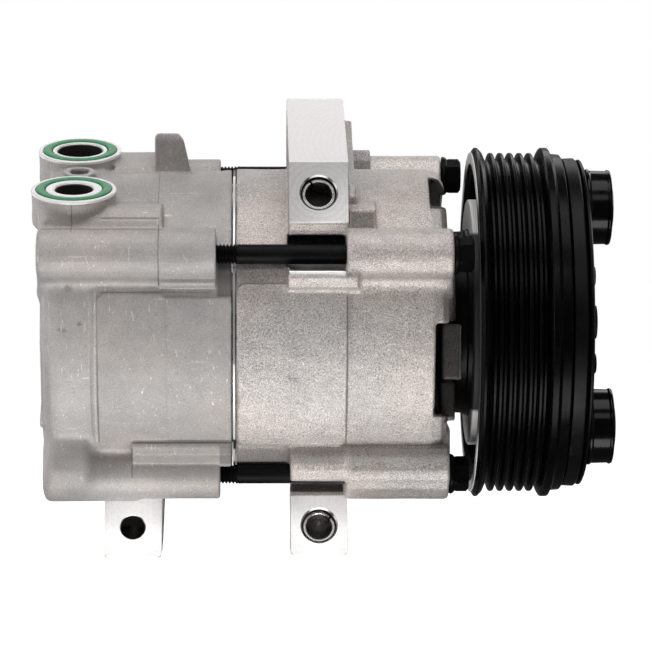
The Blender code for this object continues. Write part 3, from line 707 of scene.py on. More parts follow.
def align(ob, point, direction):
    """Turn a piece built along +X to a direction and move its origin to a point."""
    turn = Vector((1, 0, 0)).rotation_difference(Vector(direction).normalized())
    ob.data.transform(Matrix.Translation(Vector(point) * MM) @ turn.to_matrix().to_4x4())
    return ob


def clamp_bolt(name, centre):
    """Long bolt: thread at the rear, plain shank, flanged hexagon head at the front."""
    segments, pitch, depth = 48, 1.25, 0.72
    start, end = -31.0, 2.0  # of the thread
    point_end = -30.2  # where the tapered rear point ends
    stations = []
    x = start
    while x < end:
        stations.append(x)
        x += pitch / 6
    bm = bmesh.new()
    rings = []
    for x in stations:
        fade = min(1.0, max(0.0, (x - start) / 1.5)) * min(1.0, max(0.0, (end - x) / 2.0))
        taper = 0.5 * max(0.0, point_end - x) / 0.8
        ring = []
        for i in range(segments):
            phase = abs((x / pitch - i / segments) % 1.0 - 0.5) * 2
            crest = min(1.0, max(0.0, (phase - 0.12) / 0.76))
            radius = 3.58 - depth * fade * (1 - crest) - taper
            ring.append(circle_vert(bm, x, radius, 2 * math.pi * i / segments, centre))
        rings.append(ring)
    for x in (2.4, 20.0, 40.0, 60.0, 77.7):
        rings.append([
            circle_vert(bm, x, 3.5, 2 * math.pi * i / segments, centre) for i in range(segments)
        ])
    for one, two in zip(rings, rings[1:]):
        bridge(bm, one, two)
    bm.faces.new(rings[0])
    bm.faces.new(rings[-1][::-1])
    shank = bm_object(name + "_shank", bm, 40.0)
    head = spin(name + "_head", [
        (77.75, 0), (77.75, 7.0), (78.4, 7.3), (79.2, 7.0), (80.0, 6.15), (80.4, 6.4),
        (84.1, 6.4), (84.9, 5.4), (84.9, 4.3), (84.2, 3.9), (84.2, 0),
    ], 72, 0.25, centre, closed=False, warp=hexagon(5.55, 79.5, math.pi / 6), smooth=32.0)
    return shank, head


def face_plate(name, origin, out, up, x_span, up_span, low_corner, high_corner, hole):
    """Milled skin on a flat face, with two corner radii and perhaps a hole at origin."""
    proud, deep, chamfer = 0.08, 0.3, 0.12
    (x1, x2), (low, high) = x_span, up_span
    points = []
    for x, rise, radius, start in (
        (x1, low, low_corner, 180), (x2, low, low_corner, 270),
        (x2, high, high_corner, 0), (x1, high, high_corner, 90),
    ):
        mid_x = x + (radius if x == x1 else -radius)
        mid_rise = rise + (radius if rise == low else -radius)
        for k in range(9):
            turn = math.radians(start + 90.0 * k / 8)
            points.append((mid_x + radius * math.cos(turn), mid_rise + radius * math.sin(turn)))
    ring = []
    for i, (start_x, start_up) in enumerate(points):
        end_x, end_up = points[(i + 1) % len(points)]
        run, climb = end_x - start_x, end_up - start_up
        steps = max(1, int(math.hypot(run, climb) / 0.6))
        ring += [(start_x + run * k / steps, start_up + climb * k / steps) for k in range(steps)]
    bm = bmesh.new()
    base_point = np.array([0.0, origin[1], origin[2]])

    def vert(x, rise, height):
        point = np.array([x, 0.0, 0.0]) + base_point + up * rise + out * height
        return bm.verts.new(tuple(point * MM))

    top = [
        vert(
            min(max(x, x1 + chamfer), x2 - chamfer),
            min(max(rise, low + chamfer), high - chamfer),
            proud,
        )
        for x, rise in ring
    ]
    side = [vert(x, rise, proud - chamfer) for x, rise in ring]
    base = [vert(x, rise, -deep) for x, rise in ring]
    loops = [top, side, base]
    if hole:
        centre = float(origin[0])
        rim, foot = [], []
        for x, rise in ring:
            turn = math.atan2(rise, x - centre)
            hole_x, hole_up = centre + hole * math.cos(turn), hole * math.sin(turn)
            rim.append(vert(hole_x, hole_up, proud))
            foot.append(vert(hole_x, hole_up, -deep))
        loops += [foot, rim, top]
    for one, two in zip(loops, loops[1:]):
        bridge(bm, one, two)
    if not hole:
        bm.faces.new(top[::-1])
        bm.faces.new(base)
    return bm_object(name, bm, 25.0)


def split_ring(name, face, depth, lean):
    """Spring dowel in an ear's bore, with its open slit at the angle lean."""
    segments, sunk = 120, 1.6
    inner, outer = 4.72, 6.02
    gap = math.radians(9.0)
    profile = [(0.0, inner, 0.35), (0.0, outer, 0.45), (depth, outer, 0.45), (depth, inner, 0.35)]
    section = fillet(profile, 0.3)
    bm = bmesh.new()
    loops = []
    for i in range(segments + 1):
        turn = math.radians(lean) + gap / 2 + (2 * math.pi - gap) * i / segments
        cos, sin = math.cos(turn), math.sin(turn)
        loops.append([bm.verts.new((x * MM, r * cos * MM, r * sin * MM)) for x, r in section])
    for one, two in zip(loops, loops[1:]):
        bridge(bm, one, two)
    bm.faces.new(loops[0])
    bm.faces.new(loops[-1][::-1])
    ob = bm_object(name, bm, 40.0)
    # local x runs into the bore, local y along X, local z up the ear
    axes = Matrix((Vector(-EAR_OUT), Vector((1, 0, 0)), Vector(EAR_UP))).transposed()
    point = Vector(face - EAR_OUT * sunk) * MM
    ob.data.transform(Matrix.Translation(point) @ axes.to_4x4())
    return ob


def drill(ob, holes, radius, x1, x2):
    """Cut round holes along X."""
    cutters = []
    for k, centre in enumerate(holes):
        profile = [(x1, 0), (x1, radius), (x2, radius), (x2, 0)]
        cutter = spin(f"drill_{k}", profile, 64, 0.0, centre, closed=False)
        modifier = ob.modifiers.new(f"hole_{k}", "BOOLEAN")
        modifier.operation = "DIFFERENCE"
        modifier.solver = "EXACT"
        modifier.object = cutter
        cutters.append(cutter)
    graph = bpy.context.evaluated_depsgraph_get()
    mesh = bpy.data.meshes.new_from_object(ob.evaluated_get(graph))
    ob.modifiers.clear()
    old, ob.data = ob.data, mesh
    bpy.data.meshes.remove(old)
    for cutter in cutters:
        bpy.data.objects.remove(cutter)
    mesh.shade_smooth()
    mesh.set_sharp_from_angle(angle=math.radians(30.0))


# ---------------------------------------------------------------------------------------
# Shader nodes
# ---------------------------------------------------------------------------------------


class Value:
    """Output of a shader node; arithmetic on it adds Math nodes."""

    def __init__(self, nodes, socket):
        self.nodes, self.socket = nodes, socket

    def __add__(self, other):
        return self.nodes.math("ADD", self, other)

    def __radd__(self, other):
        return self.nodes.math("ADD", other, self)

    def __sub__(self, other):
        return self.nodes.math("SUBTRACT", self, other)

    def __rsub__(self, other):
        return self.nodes.math("SUBTRACT", other, self)

    def __mul__(self, other):
        return self.nodes.math("MULTIPLY", self, other)

    def __pow__(self, other):
        return self.nodes.math("POWER", self, other)


class Nodes:
    """Node tree of a new material, with place as the point in millimetres."""

    def __init__(self, name):
        self.material = bpy.data.materials.new(name)
        self.material.use_nodes = True
        self.tree = self.material.node_tree
        self.tree.nodes.clear()
        output = self.tree.nodes.new("ShaderNodeOutputMaterial")
        self.surface = self.tree.nodes.new("ShaderNodeBsdfPrincipled")
        self.tree.links.new(self.surface.outputs[0], output.inputs[0])
        self.place = self.node("Mapping", inputs={
            "Vector": self.node("TexCoord", output="Object"),
            "Scale": (1000, 1000, 1000),
            "Location": tuple(-1000 * v for v in SHIFT),
        })

    def link(self, source, target):
        if isinstance(source, np.ndarray):
            source = tuple(float(v) for v in source)
        if isinstance(source, Value):
            self.tree.links.new(source.socket, target)
        elif isinstance(source, tuple) and len(source) < len(target.default_value):
            target.default_value = (*source, 1.0)
        else:
            target.default_value = source

    def node(self, kind, inputs, output=0, **settings):
        node = self.tree.nodes.new("ShaderNode" + kind)
        for name, value in settings.items():
            setattr(node, name, value)
        for key, value in inputs.items():
            self.link(value, node.inputs[key])
        return Value(self, node.outputs[output])

    def node(self, kind, inputs=None, output=0, **settings):
        node = self.tree.nodes.new("ShaderNode" + kind)
        for name, value in settings.items():
            setattr(node, name, value)
        for key, value in (inputs or {}).items():
            self.link(value, node.inputs[key])
        return Value(self, node.outputs[output])

    def math(self, operation, one, two=0.0, clamp=False):
        return self.node("Math", {0: one, 1: two}, operation=operation, use_clamp=clamp)

    def vector(self, operation, one, two):
        output = "Value" if operation in ("DOT_PRODUCT", "DISTANCE") else 0
        return self.node("VectorMath", {0: one, 1: two}, output, operation=operation)

    def coordinates(self):
        split = self.node("SeparateXYZ", {0: self.place})
        return [Value(self, socket) for socket in split.socket.node.outputs]

    def stretch(self, scale, rotation=(0, 0, 0)):
        inputs = {"Vector": self.place, "Scale": scale, "Rotation": rotation}
        return self.node("Mapping", inputs)

    def noise(self, scale, detail=2.0, rough=0.5, at=None, distort=0.0):
        return self.node("TexNoise", {
            "Vector": self.place if at is None else at, "Scale": scale, "Detail": detail,
            "Roughness": rough, "Distortion": distort,
        }, "Fac")

    def ramp(self, value, over, to=(0.0, 1.0)):
        """Smooth step from one value to another over a range."""
        return self.node("MapRange", {
            "Value": value, "From Min": over[0], "From Max": over[1],
            "To Min": to[0], "To Max": to[1],
        }, "Result", interpolation_type="SMOOTHSTEP")

    def swing(self, noise, size):
        """Noise turned into a change of up to size either way."""
        return self.ramp(noise, over=(0.3, 0.7), to=(-size, size))

    def band(self, value, low, high, soft):
        """1 between two limits, with soft sides."""
        rise = self.ramp(value, over=(low - soft, low + soft))
        return rise * self.ramp(value, over=(high - soft, high + soft), to=(1.0, 0.0))

    def mix(self, factor, one, two):
        return self.node("Mix", {0: factor, 6: one, 7: two}, 2, data_type="RGBA")

    def shade(self, colour, value):
        """Colour times a scalar."""
        return self.node("VectorMath", {0: colour, "Scale": value}, operation="SCALE")

    def bump(self, height, strength, distance):
        return self.node("Bump", {"Strength": strength, "Distance": distance, "Height": height})

    def pointed(self, over, to=(0.0, 1.0)):
        """Mask from pointiness, which is high on edges and low in creases."""
        pointiness = self.node("NewGeometry", output="Pointiness")
        return self.ramp(pointiness, over, to)

    def finish(self, colour, roughness, normal, metal=0.0, specular=0.5):
        for name, value in (
            ("Base Color", colour), ("Roughness", roughness), ("Metallic", metal),
            ("Normal", normal), ("Specular IOR Level", specular),
        ):
            self.link(value, self.surface.inputs[name])
        return self.material


# ---------------------------------------------------------------------------------------
# Material recipes
# ---------------------------------------------------------------------------------------


def face_mask(n, point, normal, x1, x2):
    """1 on a machined plane between x1 and x2."""
    depth, soft = 0.35, 0.3
    offset = n.vector("DOT_PRODUCT", n.vector("SUBTRACT", n.place, point), normal)
    near = n.ramp(n.math("ABSOLUTE", offset), over=(depth * 0.5, depth), to=(1.0, 0.0))
    surface_normal = n.node("NewGeometry", output="Normal")
    facing = n.ramp(n.vector("DOT_PRODUCT", surface_normal, normal), over=(0.90, 0.97))
    x = n.coordinates()[0]
    inside = n.ramp(x, over=(x1 - soft, x1)) * n.ramp(x, over=(x2, x2 + soft), to=(1.0, 0.0))
    return near * facing * inside


def spots(n, places):
    """Soft marks at points on the surface: x, y, z, radius."""
    total = None
    for x, y, z, radius in places:
        wobble = n.noise(scale=0.8, detail=3, rough=0.7) * (radius * 1.2)
        away = n.vector("DISTANCE", n.place, (x, y, z)) + wobble
        spot = n.ramp(away, over=(radius * 0.7, radius * 1.5), to=(1.0, 0.0))
        total = spot if total is None else n.math("MAXIMUM", total, spot)
    return total


def block_mask(n, limits, soft):
    """1 inside a box of limits x1, x2, y1, y2, z1, z2, with soft sides."""
    x, y, z = n.coordinates()
    across = n.band(x, *limits[:2], soft) * n.band(y, *limits[2:4], soft)
    return across * n.band(z, *limits[4:], soft)


def cutter_arcs(n, centre, wobble):
    """Two sets of rings about a point, as a milling cutter leaves."""
    away = n.vector("DISTANCE", n.place, centre) + wobble * 0.6
    return n.math("SINE", away * 7.5) * 0.5 + n.math("SINE", away * 2.9) * 0.5


def streaks(n, scale, rotation, over, detail=1.0, distort=0.0):
    """Thin lines from noise that is stretched along one direction."""
    at = n.stretch(scale, rotation)
    noise = n.noise(scale=1.0, detail=detail, rough=0.5, at=at, distort=distort)
    return n.ramp(noise, over=over)


def cast_scratches(n, patches):
    """Long scratches where patches is high, and short ones in slower patches."""
    long = n.math(
        "MAXIMUM",
        streaks(n, (0.9, 0.9, 0.06), (0.5, 0.45, 0.2), over=(0.755, 0.785), distort=0.4),
        streaks(n, (0.05, 0.7, 0.7), (0.1, 0.35, 0.15), over=(0.74, 0.765)),
    )
    long = long * n.ramp(patches, over=(0.45, 0.6))
    short = n.math(
        "MAXIMUM",
        streaks(n, (1.5, 1.5, 0.17), (0.2, 0.75, 0.1), over=(0.765, 0.80), detail=0.0),
        streaks(n, (1.4, 1.4, 0.2), (0.1, -0.95, 0.2), over=(0.77, 0.805), detail=0.0),
    )
    slow = n.noise(scale=0.05, detail=2.0, rough=0.5)
    return n.math("MAXIMUM", long, short * n.ramp(slow, over=(0.38, 0.55)))


def cast(name, base, rough, grain, machined, metal, marks=(), shade_and_seams=(), nicks=0.1, scratch=0.28):
    """Cast aluminium with grain, nicks, scratches, worn edges, milled faces, creases painted darker as
    shade, and painted shade in listed blocks.

    machined rows: point, normal, x1, x2, tone, centre of the cutter arcs
    marks rows: as in spots; rows of painted shade blocks: limits x1, x2, y1, y2, z1, z2, then softness,
    depth, where a negative depth paints a highlight
    """
    n = Nodes(name)
    fine = n.noise(scale=2.8, detail=1.5, rough=0.6)
    finer = n.noise(scale=1.5, detail=3.0, rough=0.65)
    mid = n.noise(scale=0.16, detail=3.0, rough=0.55)
    slow = n.noise(scale=0.028, detail=2.0, rough=0.5)
    nick = n.ramp(n.noise(scale=0.55, detail=2.0, rough=0.5, distort=1.5), over=(0.70, 0.76))
    scratches = cast_scratches(n, mid)
    flecks = n.ramp(n.noise(scale=1.7, detail=1.0, rough=0.5, distort=2.5), over=(0.76, 0.80))
    pits = n.ramp(n.noise(scale=0.75, detail=2.0, rough=0.6), over=(0.26, 0.32), to=(1.0, 0.0))
    tone = (
        n.ramp(fine, over=(0.28, 0.72), to=(-grain * 1.3, grain * 1.3))
        + n.swing(finer, grain * 0.5)
        + n.swing(mid, 0.05)
        + n.swing(slow, 0.05)
        # pointiness: edges lighter as wear, creases darker as painted shade
        + n.pointed(over=(0.52, 0.62)) * 0.22
        - n.pointed(over=(0.40, 0.485), to=(1.0, 0.0)) * 0.22
        + scratches * scratch
        + nick * nicks
        + flecks * 0.30
        - pits * 0.22
    )
    if marks:
        tone = tone - spots(n, marks) * 0.33
    tone = tone + 1.0
    # painted shade in listed blocks, and painted highlights where depth is negative
    for *limits, soft, depth in shade_and_seams:
        tone = tone * (1.0 - block_mask(n, limits, soft) * depth)
    warm = (base[0] * 1.02, base[1] * 0.975, base[2] * 0.955)
    colour = n.shade(n.mix(n.ramp(slow, over=(0.35, 0.65)), base, warm), tone)
    roughness = rough + n.swing(finer, 0.07) - scratches * 0.2
    height = fine * 0.6 + finer * 0.9 + mid * 2.2 - nick * 0.5
    cast_normal = n.bump(height, strength=0.7, distance=0.0011 * grain)
    mask = arcs = None
    for point, normal, x1, x2, face_tone, centre in machined:
        face = face_mask(n, point, normal, x1, x2)
        rings = cutter_arcs(n, centre, mid)
        arcs = rings * face if arcs is None else arcs + rings * face
        mottle = n.swing(n.noise(scale=0.9, detail=3, rough=0.7), 0.05)
        colour = n.mix(face, colour, n.shade(face_tone, 1.0 + (rings * 0.045 + mottle)))
        mask = face if mask is None else n.math("MAXIMUM", mask, face)
    milled_normal = n.bump(arcs, strength=0.25, distance=0.00003)
    normal = n.node("Mix", {0: mask, 4: cast_normal, 5: milled_normal}, 1, data_type="VECTOR")
    keep = 1.0 - mask
    return n.finish(colour, roughness * keep + mask * 0.30, normal, metal=keep * metal + mask)


def milled(name, tone, rough, metal, centre, painted_shading=None, arc=0.03):
    """Face-milled aluminium. shading, if given, is painted light and shade: a point, a reach, and the
    tones at and beyond them.
    """
    n = Nodes(name)
    rings = cutter_arcs(n, centre, n.noise(scale=0.16, detail=3.0, rough=0.55))
    fine = n.noise(scale=0.9, detail=3.0, rough=0.7)
    value = 1.0 + (rings * arc + n.ramp(fine, over=(0.3, 0.7), to=(-0.05, 0.04)))
    at = n.stretch((0.06, 1.4, 1.4), (0.0, 0.12, 0.05))
    streak = n.noise(scale=1.0, detail=2.0, rough=0.6, at=at)
    value = value + n.ramp(streak, over=(0.62, 0.72), to=(0.0, -0.07))
    if painted_shading:
        point, reach, near_tone, far_tone = painted_shading
        away = n.vector("DISTANCE", n.place, point)
        value = value * n.ramp(away, over=(0.0, reach), to=(near_tone, far_tone))
    roughness = rough + n.ramp(fine, over=(0.3, 0.7), to=(-0.03, 0.04))
    normal = n.bump(rings, strength=0.2, distance=0.000012)
    return n.finish(n.shade(tone, value), roughness, normal, metal=metal)


def turned_metal(name, base, rough, metal=1.0, tone=0.08, rings=True):
    """Machined or ground metal, with turning marks about the shaft or plain ones."""
    n = Nodes(name)
    if rings:
        x, y, z = n.coordinates()
        radius = n.math("SQRT", y**2.0 + z**2.0)
        at = n.node("CombineXYZ", {0: x * 1.0, 1: radius, 2: z * 0.02})
        marks = n.noise(scale=3.2, detail=2.0, rough=0.6, at=at)
    else:
        marks = n.noise(scale=2.5, detail=3.0, rough=0.6, at=n.stretch((1.0, 1.0, 0.15)))
    mottle = n.noise(scale=0.22, detail=3.0, rough=0.6)
    value = n.ramp(marks, over=(0.25, 0.75), to=(-tone, tone)) + n.swing(mottle, tone * 0.8)
    value = value + n.pointed(over=(0.53, 0.65)) * 0.25 + 1.0
    roughness = rough + n.ramp(mottle, over=(0.3, 0.7), to=(-0.06, 0.08))
    normal = n.bump(marks, strength=0.22, distance=0.00002)
    return n.finish(n.shade(base, value), roughness, normal, metal=metal)


def band_shaded(name, base, rough, metal, shade_bands):
    """Metal with painted shade in bands of height: z1, z2, softness, depth."""
    n = Nodes(name)
    z = n.coordinates()[2]
    fine = n.noise(scale=2.6, detail=2.0, rough=0.6)
    value = 1.0 + n.swing(fine, 0.05)
    for z1, z2, soft, depth in shade_bands:
        value = value * (1.0 - n.band(z, z1, z2, soft) * depth)
    normal = n.bump(fine, strength=0.2, distance=0.00003)
    return n.finish(n.shade(base, value), rough, normal, metal=metal)


def black_coat(name, base, rough, specular, wear=0.24, rim=0.0):
    """Black paint: dust, orange peel, worn edges and a painted sheen, a paler rim at grazing angles."""
    n = Nodes(name)
    peel = n.noise(scale=0.9, detail=2.0, rough=0.5)
    dust = n.noise(scale=3.0, detail=3.0, rough=0.7)
    cloud = n.noise(scale=0.09, detail=3.0, rough=0.6)
    value = 1.0 + (
        n.ramp(dust, over=(0.55, 0.8), to=(0.0, 0.9))
        + n.ramp(cloud, over=(0.3, 0.7), to=(-0.25, 0.35))
    )
    edge = n.pointed(over=(0.56, 0.72)) * n.ramp(peel, over=(0.35, 0.65))
    worn = n.math("MULTIPLY", edge, wear, clamp=True)
    colour = n.mix(worn, n.shade(base, value), (0.11, 0.11, 0.115))
    # painted sheen: colour turns paler towards grazing angles, by the strength rim
    if rim:
        facing = n.node("LayerWeight", {"Blend": 0.5}, "Facing")
        turn = n.ramp(facing, over=(0.80, 1.0)) ** 2.0
        colour = n.mix(turn * rim, colour, (0.55, 0.53, 0.53))
    roughness = rough + (
        n.ramp(cloud, over=(0.3, 0.7), to=(-0.04, 0.07))
        + n.ramp(dust, over=(0.5, 0.8), to=(0.0, 0.12))
    )
    normal = n.bump(peel + dust * 0.3, strength=0.12, distance=0.00006)
    return n.finish(colour, roughness, normal, specular=specular)


def rubber(name, base):
    n = Nodes(name)
    fine = n.noise(scale=2.2, detail=3.0, rough=0.6)
    mottle = n.noise(scale=0.35, detail=3.0, rough=0.6)
    value = 1.0 + n.swing(fine, 0.08) + n.swing(mottle, 0.12)
    value = value + n.pointed(over=(0.52, 0.62)) * 0.25
    roughness = 0.42 + n.ramp(mottle, over=(0.3, 0.7), to=(-0.06, 0.08))
    normal = n.bump(fine, strength=0.2, distance=0.00004)
    return n.finish(n.shade(base, value), roughness, normal)


def plastic(name, base, rough):
    n = Nodes(name)
    fine = n.noise(scale=2.6, detail=3.0, rough=0.6)
    mottle = n.noise(scale=0.3, detail=3.0, rough=0.6)
    value = 1.0 + n.swing(fine, 0.1) + n.ramp(mottle, over=(0.3, 0.7), to=(-0.1, 0.15))
    normal = n.bump(fine, strength=0.3, distance=0.00005)
    return n.finish(n.shade(base, value), rough + n.swing(fine, 0.05), normal)


# ---------------------------------------------------------------------------------------
# Materials
# ---------------------------------------------------------------------------------------

WHITE = (0.95, 0.94, 0.93)
ARCS_LOW_F = EAR_LOW_F + np.array([8.0, 0.0, 10.0])
# machined faces: point, normal, x1, x2, tone, centre of the cutter arcs
# the top ear's front face gets a lower tone than the other milled faces, as painted shade
FACE_TOP = (EAR_TOP, EAR_OUT, 19.0, 41.2, (0.80, 0.79, 0.78), EAR_TOP)
FACE_SLOPE = (TOP_EDGE, TOP_OUT, 19.0, 41.0, WHITE, EAR_TOP + np.array([60.0, 30.0, 0.0]))
FACE_LOW_F = (EAR_LOW_F, EAR_OUT, 20.0, 42.0, WHITE, ARCS_LOW_F)
FACE_LOW_R = (EAR_LOW_R, EAR_OUT, -48.0, -26.0, WHITE, EAR_LOW_R + np.array([-6.0, 0.0, 12.0]))

# marks: x, y, z, radius
FRONT_MARKS = [
    (21.5, -54.0, -9.0, 4.0), (21.0, -53.0, -20.0, 3.6), (51.0, -49.0, -32.0, 2.2),
    (31.0, -44.0, -38.0, 1.0), (11.0, -48.0, -33.0, 1.2),
]
REAR_MARKS = [
    (-54.5, -55.7, -0.8, 1.7), (-59.8, -55.6, -3.2, 1.4), (-61.5, -55.6, -2.6, 1.0),
    (-58.5, -55.0, 12.0, 2.6),
]
# painted shade blocks: x1, x2, y1, y2, z1, z2, softness, depth; negative ones are lighter, as painted
# highlights. A few thin rear rows darken parting lines
FRONT_PAINTED_SHADE = [
    (70.9, 81.0, -47.0, -10.0, -34.0, 0.4, 0.35, 0.80),
    (70.2, 81.0, -50.0, -19.0, 40.6, 52.6, 0.35, 0.92),
    (18.8, 39.9, -49.5, -30.0, 16.6, 31.4, 0.35, 0.94),
    (18.8, 39.9, -37.0, -2.2, -62.4, -57.4, 0.35, 0.85),
    (41.7, 49.6, -52.0, -47.2, 33.6, 39.0, 0.35, 0.42),
    (42.6, 51.0, 8.0, 14.0, 50.0, 60.2, 0.3, 0.42),
    (39.0, 42.2, -62.0, -20.0, -3.0, 9.0, 0.35, 0.12),
    (40.6, 78.0, -66.0, -44.0, 14.6, 17.4, 0.9, 0.20),
    (41.0, 78.0, -40.0, -20.0, -54.6, -46.4, 1.8, 0.34),
    (1.0, 39.6, -52.0, -20.0, -51.0, -45.6, 0.8, 0.28),
    (1.0, 39.4, -60.0, -30.0, -43.6, -30.0, 5.0, -0.14),
    (73.0, 79.4, -40.0, -18.0, -36.0, -21.0, 0.6, 0.72),
    (39.95, 40.35, -62.0, -30.0, -44.0, 9.0, 0.12, 0.32),
    (39.0, 39.7, -62.0, -30.0, -43.0, 9.0, 0.25, -0.12),
    (1.6, 40.0, -60.0, -30.0, -44.9, -44.3, 0.15, -0.20),
    (19.0, 40.0, -64.0, -56.0, 16.6, 18.5, 0.25, 0.50),
    (50.0, 78.0, -8.0, 32.0, 56.5, 66.0, 1.0, -0.20),
    (0.8, 17.0, -62.0, -46.0, 6.0, 19.0, 3.5, 0.26),
    (75.6, 79.6, -47.0, -10.0, 32.0, 41.0, 0.8, 0.45),
]
REAR_SHADE_AND_SEAMS = [
    (-26.65, -26.35, -66.0, -44.0, 13.0, 34.0, 0.12, 0.55),
    (-57.35, -57.05, -60.0, -44.0, 31.5, 43.5, 0.12, 0.55),
    (-27.2, -26.9, -40.0, -14.0, 40.0, 56.0, 0.12, 0.40),
    (-57.0, -26.0, -52.4, -51.0, 36.0, 37.0, 0.25, 0.45),
    (-29.0, -14.0, -14.0, -12.4, 50.0, 66.5, 1.2, 0.34),
    (-6.0, -0.2, -60.0, -30.0, 8.8, 26.0, 0.6, 0.55),
    (-26.2, -23.0, -8.0, 8.0, -84.0, -62.0, 0.4, 0.80),
    (-66.0, -5.0, -42.0, -20.0, -57.0, -46.4, 2.4, 0.17),
    (-48.4, -48.0, -62.0, -30.0, -43.0, 9.6, 0.13, 0.42),
    (-49.4, -48.7, -62.0, -30.0, -43.0, 10.4, 0.2, -0.20),
    (-50.8, -49.6, -62.0, -30.0, -44.0, 11.0, 0.35, 0.09),
    (-51.3, -50.9, -62.0, -30.0, -40.0, 10.0, 0.15, -0.10),
    (-48.0, -8.0, -62.0, -30.0, 10.2, 10.6, 0.13, 0.30),
    (-36.4, -1.0, -45.0, -30.0, -43.45, -43.0, 0.13, 0.48),
    (-36.0, -6.0, -45.0, -30.0, -44.1, -43.6, 0.15, -0.16),
    (-36.7, -36.3, -45.0, -24.0, -56.0, -45.0, 0.13, 0.45),
    (-5.2, -0.6, -46.0, -20.0, -51.0, -44.4, 0.5, 0.40),
    (-29.4, -14.2, -18.0, -8.0, 49.4, 50.2, 0.25, 0.40),
    (-29.6, -29.0, -14.0, -10.0, 49.0, 64.0, 0.2, -0.16),
    (-68.0, -25.4, -66.0, -40.0, 32.4, 33.0, 0.25, 0.28),
    (-68.0, -6.4, -66.0, -40.0, 13.6, 15.4, 0.7, 0.20),
    (-66.0, -51.0, -60.0, -20.0, -40.0, 8.0, 3.0, -0.10),
    (-56.0, -26.0, -56.0, -49.0, 42.6, 43.1, 0.2, 0.26),
]

front_mat = cast(
    "cast_front", (0.60, 0.565, 0.545), rough=0.50, grain=0.30, metal=0.55, scratch=0.22,
    machined=[FACE_TOP, FACE_SLOPE, FACE_LOW_F], marks=FRONT_MARKS, shade_and_seams=FRONT_PAINTED_SHADE,
)
rear_mat = cast(
    "cast_rear", (0.50, 0.48, 0.466), rough=0.60, grain=0.115, metal=0.35, scratch=0.42,
    nicks=0.20, machined=[FACE_LOW_R], marks=REAR_MARKS, shade_and_seams=REAR_SHADE_AND_SEAMS,
)
# near-black walls of the ear bores: painted shade inside the bores
bore_shade_mat = cast(
    "bore_wall_painted_shade", (0.045, 0.042, 0.04), rough=0.42, grain=0.10, metal=0.7,
    machined=[FACE_TOP, FACE_LOW_F, FACE_LOW_R],
)
# top ear's front face: a lower tone than the other milled faces and a painted reflection, lighter near
# its lower right end and darker away from it
ear_front_shaded_mat = milled(
    "milled_ear_front_painted_shade", (0.62, 0.61, 0.60), rough=0.34, metal=0.85, centre=EAR_TOP,
    painted_shading=((40.0, -56.0, 34.0), 26.0, 1.30, 0.84), arc=0.085,
)
ear_top_mat = milled(
    "milled_ear_top", (0.96, 0.93, 0.92), rough=0.40, metal=0.85,
    centre=EAR_TOP + np.array([80.0, 30.0, 0.0]),
)
ear_low_mat = milled(
    "milled_ear_low", (0.99, 0.98, 0.97), rough=0.35, metal=0.35, centre=ARCS_LOW_F
)
chamfer_mat = turned_metal("bore_chamfer", (0.36, 0.355, 0.35), rough=0.30, rings=False)
# near-black walls of the port and stud bores: painted shade
bore_wall_shade = turned_metal("port_bore", (0.035, 0.032, 0.030), rough=0.45, metal=0.3, rings=False)
port_mat = turned_metal(
    "port_face_aluminium", (0.95, 0.95, 0.94), rough=0.38, metal=0.25, tone=0.05, rings=False
)
rim_mat = turned_metal(
    "stud_rim_aluminium", (0.40, 0.385, 0.375), rough=0.40, metal=0.5, rings=False
)
steel = turned_metal("ground_steel", (0.60, 0.60, 0.61), rough=0.28)
bright = turned_metal("bright_steel", (0.80, 0.80, 0.80), rough=0.22)
blank = turned_metal("machined_aluminium", (0.72, 0.72, 0.72), rough=0.34)
dowel_mat = turned_metal("spring_steel", (0.50, 0.49, 0.48), rough=0.26, rings=False)
# rim sets the strength of each coat's painted sheen at grazing angles
gloss = black_coat(
    "black_gloss_paint", (0.0012, 0.0011, 0.0012), rough=0.26, specular=0.10, rim=0.30
)
semi = black_coat(
    "black_semi_gloss", (0.0022, 0.0021, 0.0022), rough=0.30, specular=0.12, rim=0.14
)
cup_mat = black_coat(
    "black_cup_lacquer", (0.0016, 0.0016, 0.0017), rough=0.15, specular=0.20, rim=0.08
)
matt = black_coat(
    "black_phosphate", (0.0028, 0.0027, 0.0028), rough=0.46, specular=0.12, wear=0.48
)
ring_mat = black_coat(
    "armature_edge", (0.0028, 0.0027, 0.0028), rough=0.36, specular=0.14, rim=0.25
)
# painted shade bands: z1, z2, softness, depth; the pale parts outside them stand in for painted
# reflections
back_mat = band_shaded(
    "pulley_back_face", (0.80, 0.78, 0.78), rough=0.55, metal=0.1,
    shade_bands=[(-43.0, 43.0, 6.0, 0.97)],
)
plate_mat = band_shaded(
    "coil_plate", (0.95, 0.95, 0.95), rough=0.55, metal=0.1, shade_bands=[(-32.0, 32.0, 0.8, 0.97)]
)
gasket_mat = band_shaded(
    "gasket_shim", (0.95, 0.94, 0.93), rough=0.35, metal=0.3,
    shade_bands=[(-14.9, 19.5, 0.6, 0.56), (-45.6, -42.2, 0.3, 0.95), (53.0, 58.0, 0.3, 0.9)],
)
green = rubber("green_seal_rubber", (0.055, 0.29, 0.13))
black_rubber = rubber("black_rubber", (0.012, 0.012, 0.012))
resin = plastic("black_resin", (0.018, 0.018, 0.018), rough=0.5)
ptfe = plastic("ptfe", (0.14, 0.12, 0.10), rough=0.55)

# ---------------------------------------------------------------------------------------
# Housing pieces
# ---------------------------------------------------------------------------------------


def place(ob, body, material, slot, node=None):
    ob.data.transform(Matrix.Translation(SHIFT))
    ob.data.materials.clear()
    ob.data.materials.append(material)
    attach(ob, body)
    if node:
        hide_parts(node)


place(front_casting(), "housing", front_mat, "cast_front", "front_housing")
place(rear_casting(), "housing", rear_mat, "cast_rear", "rear_housing")

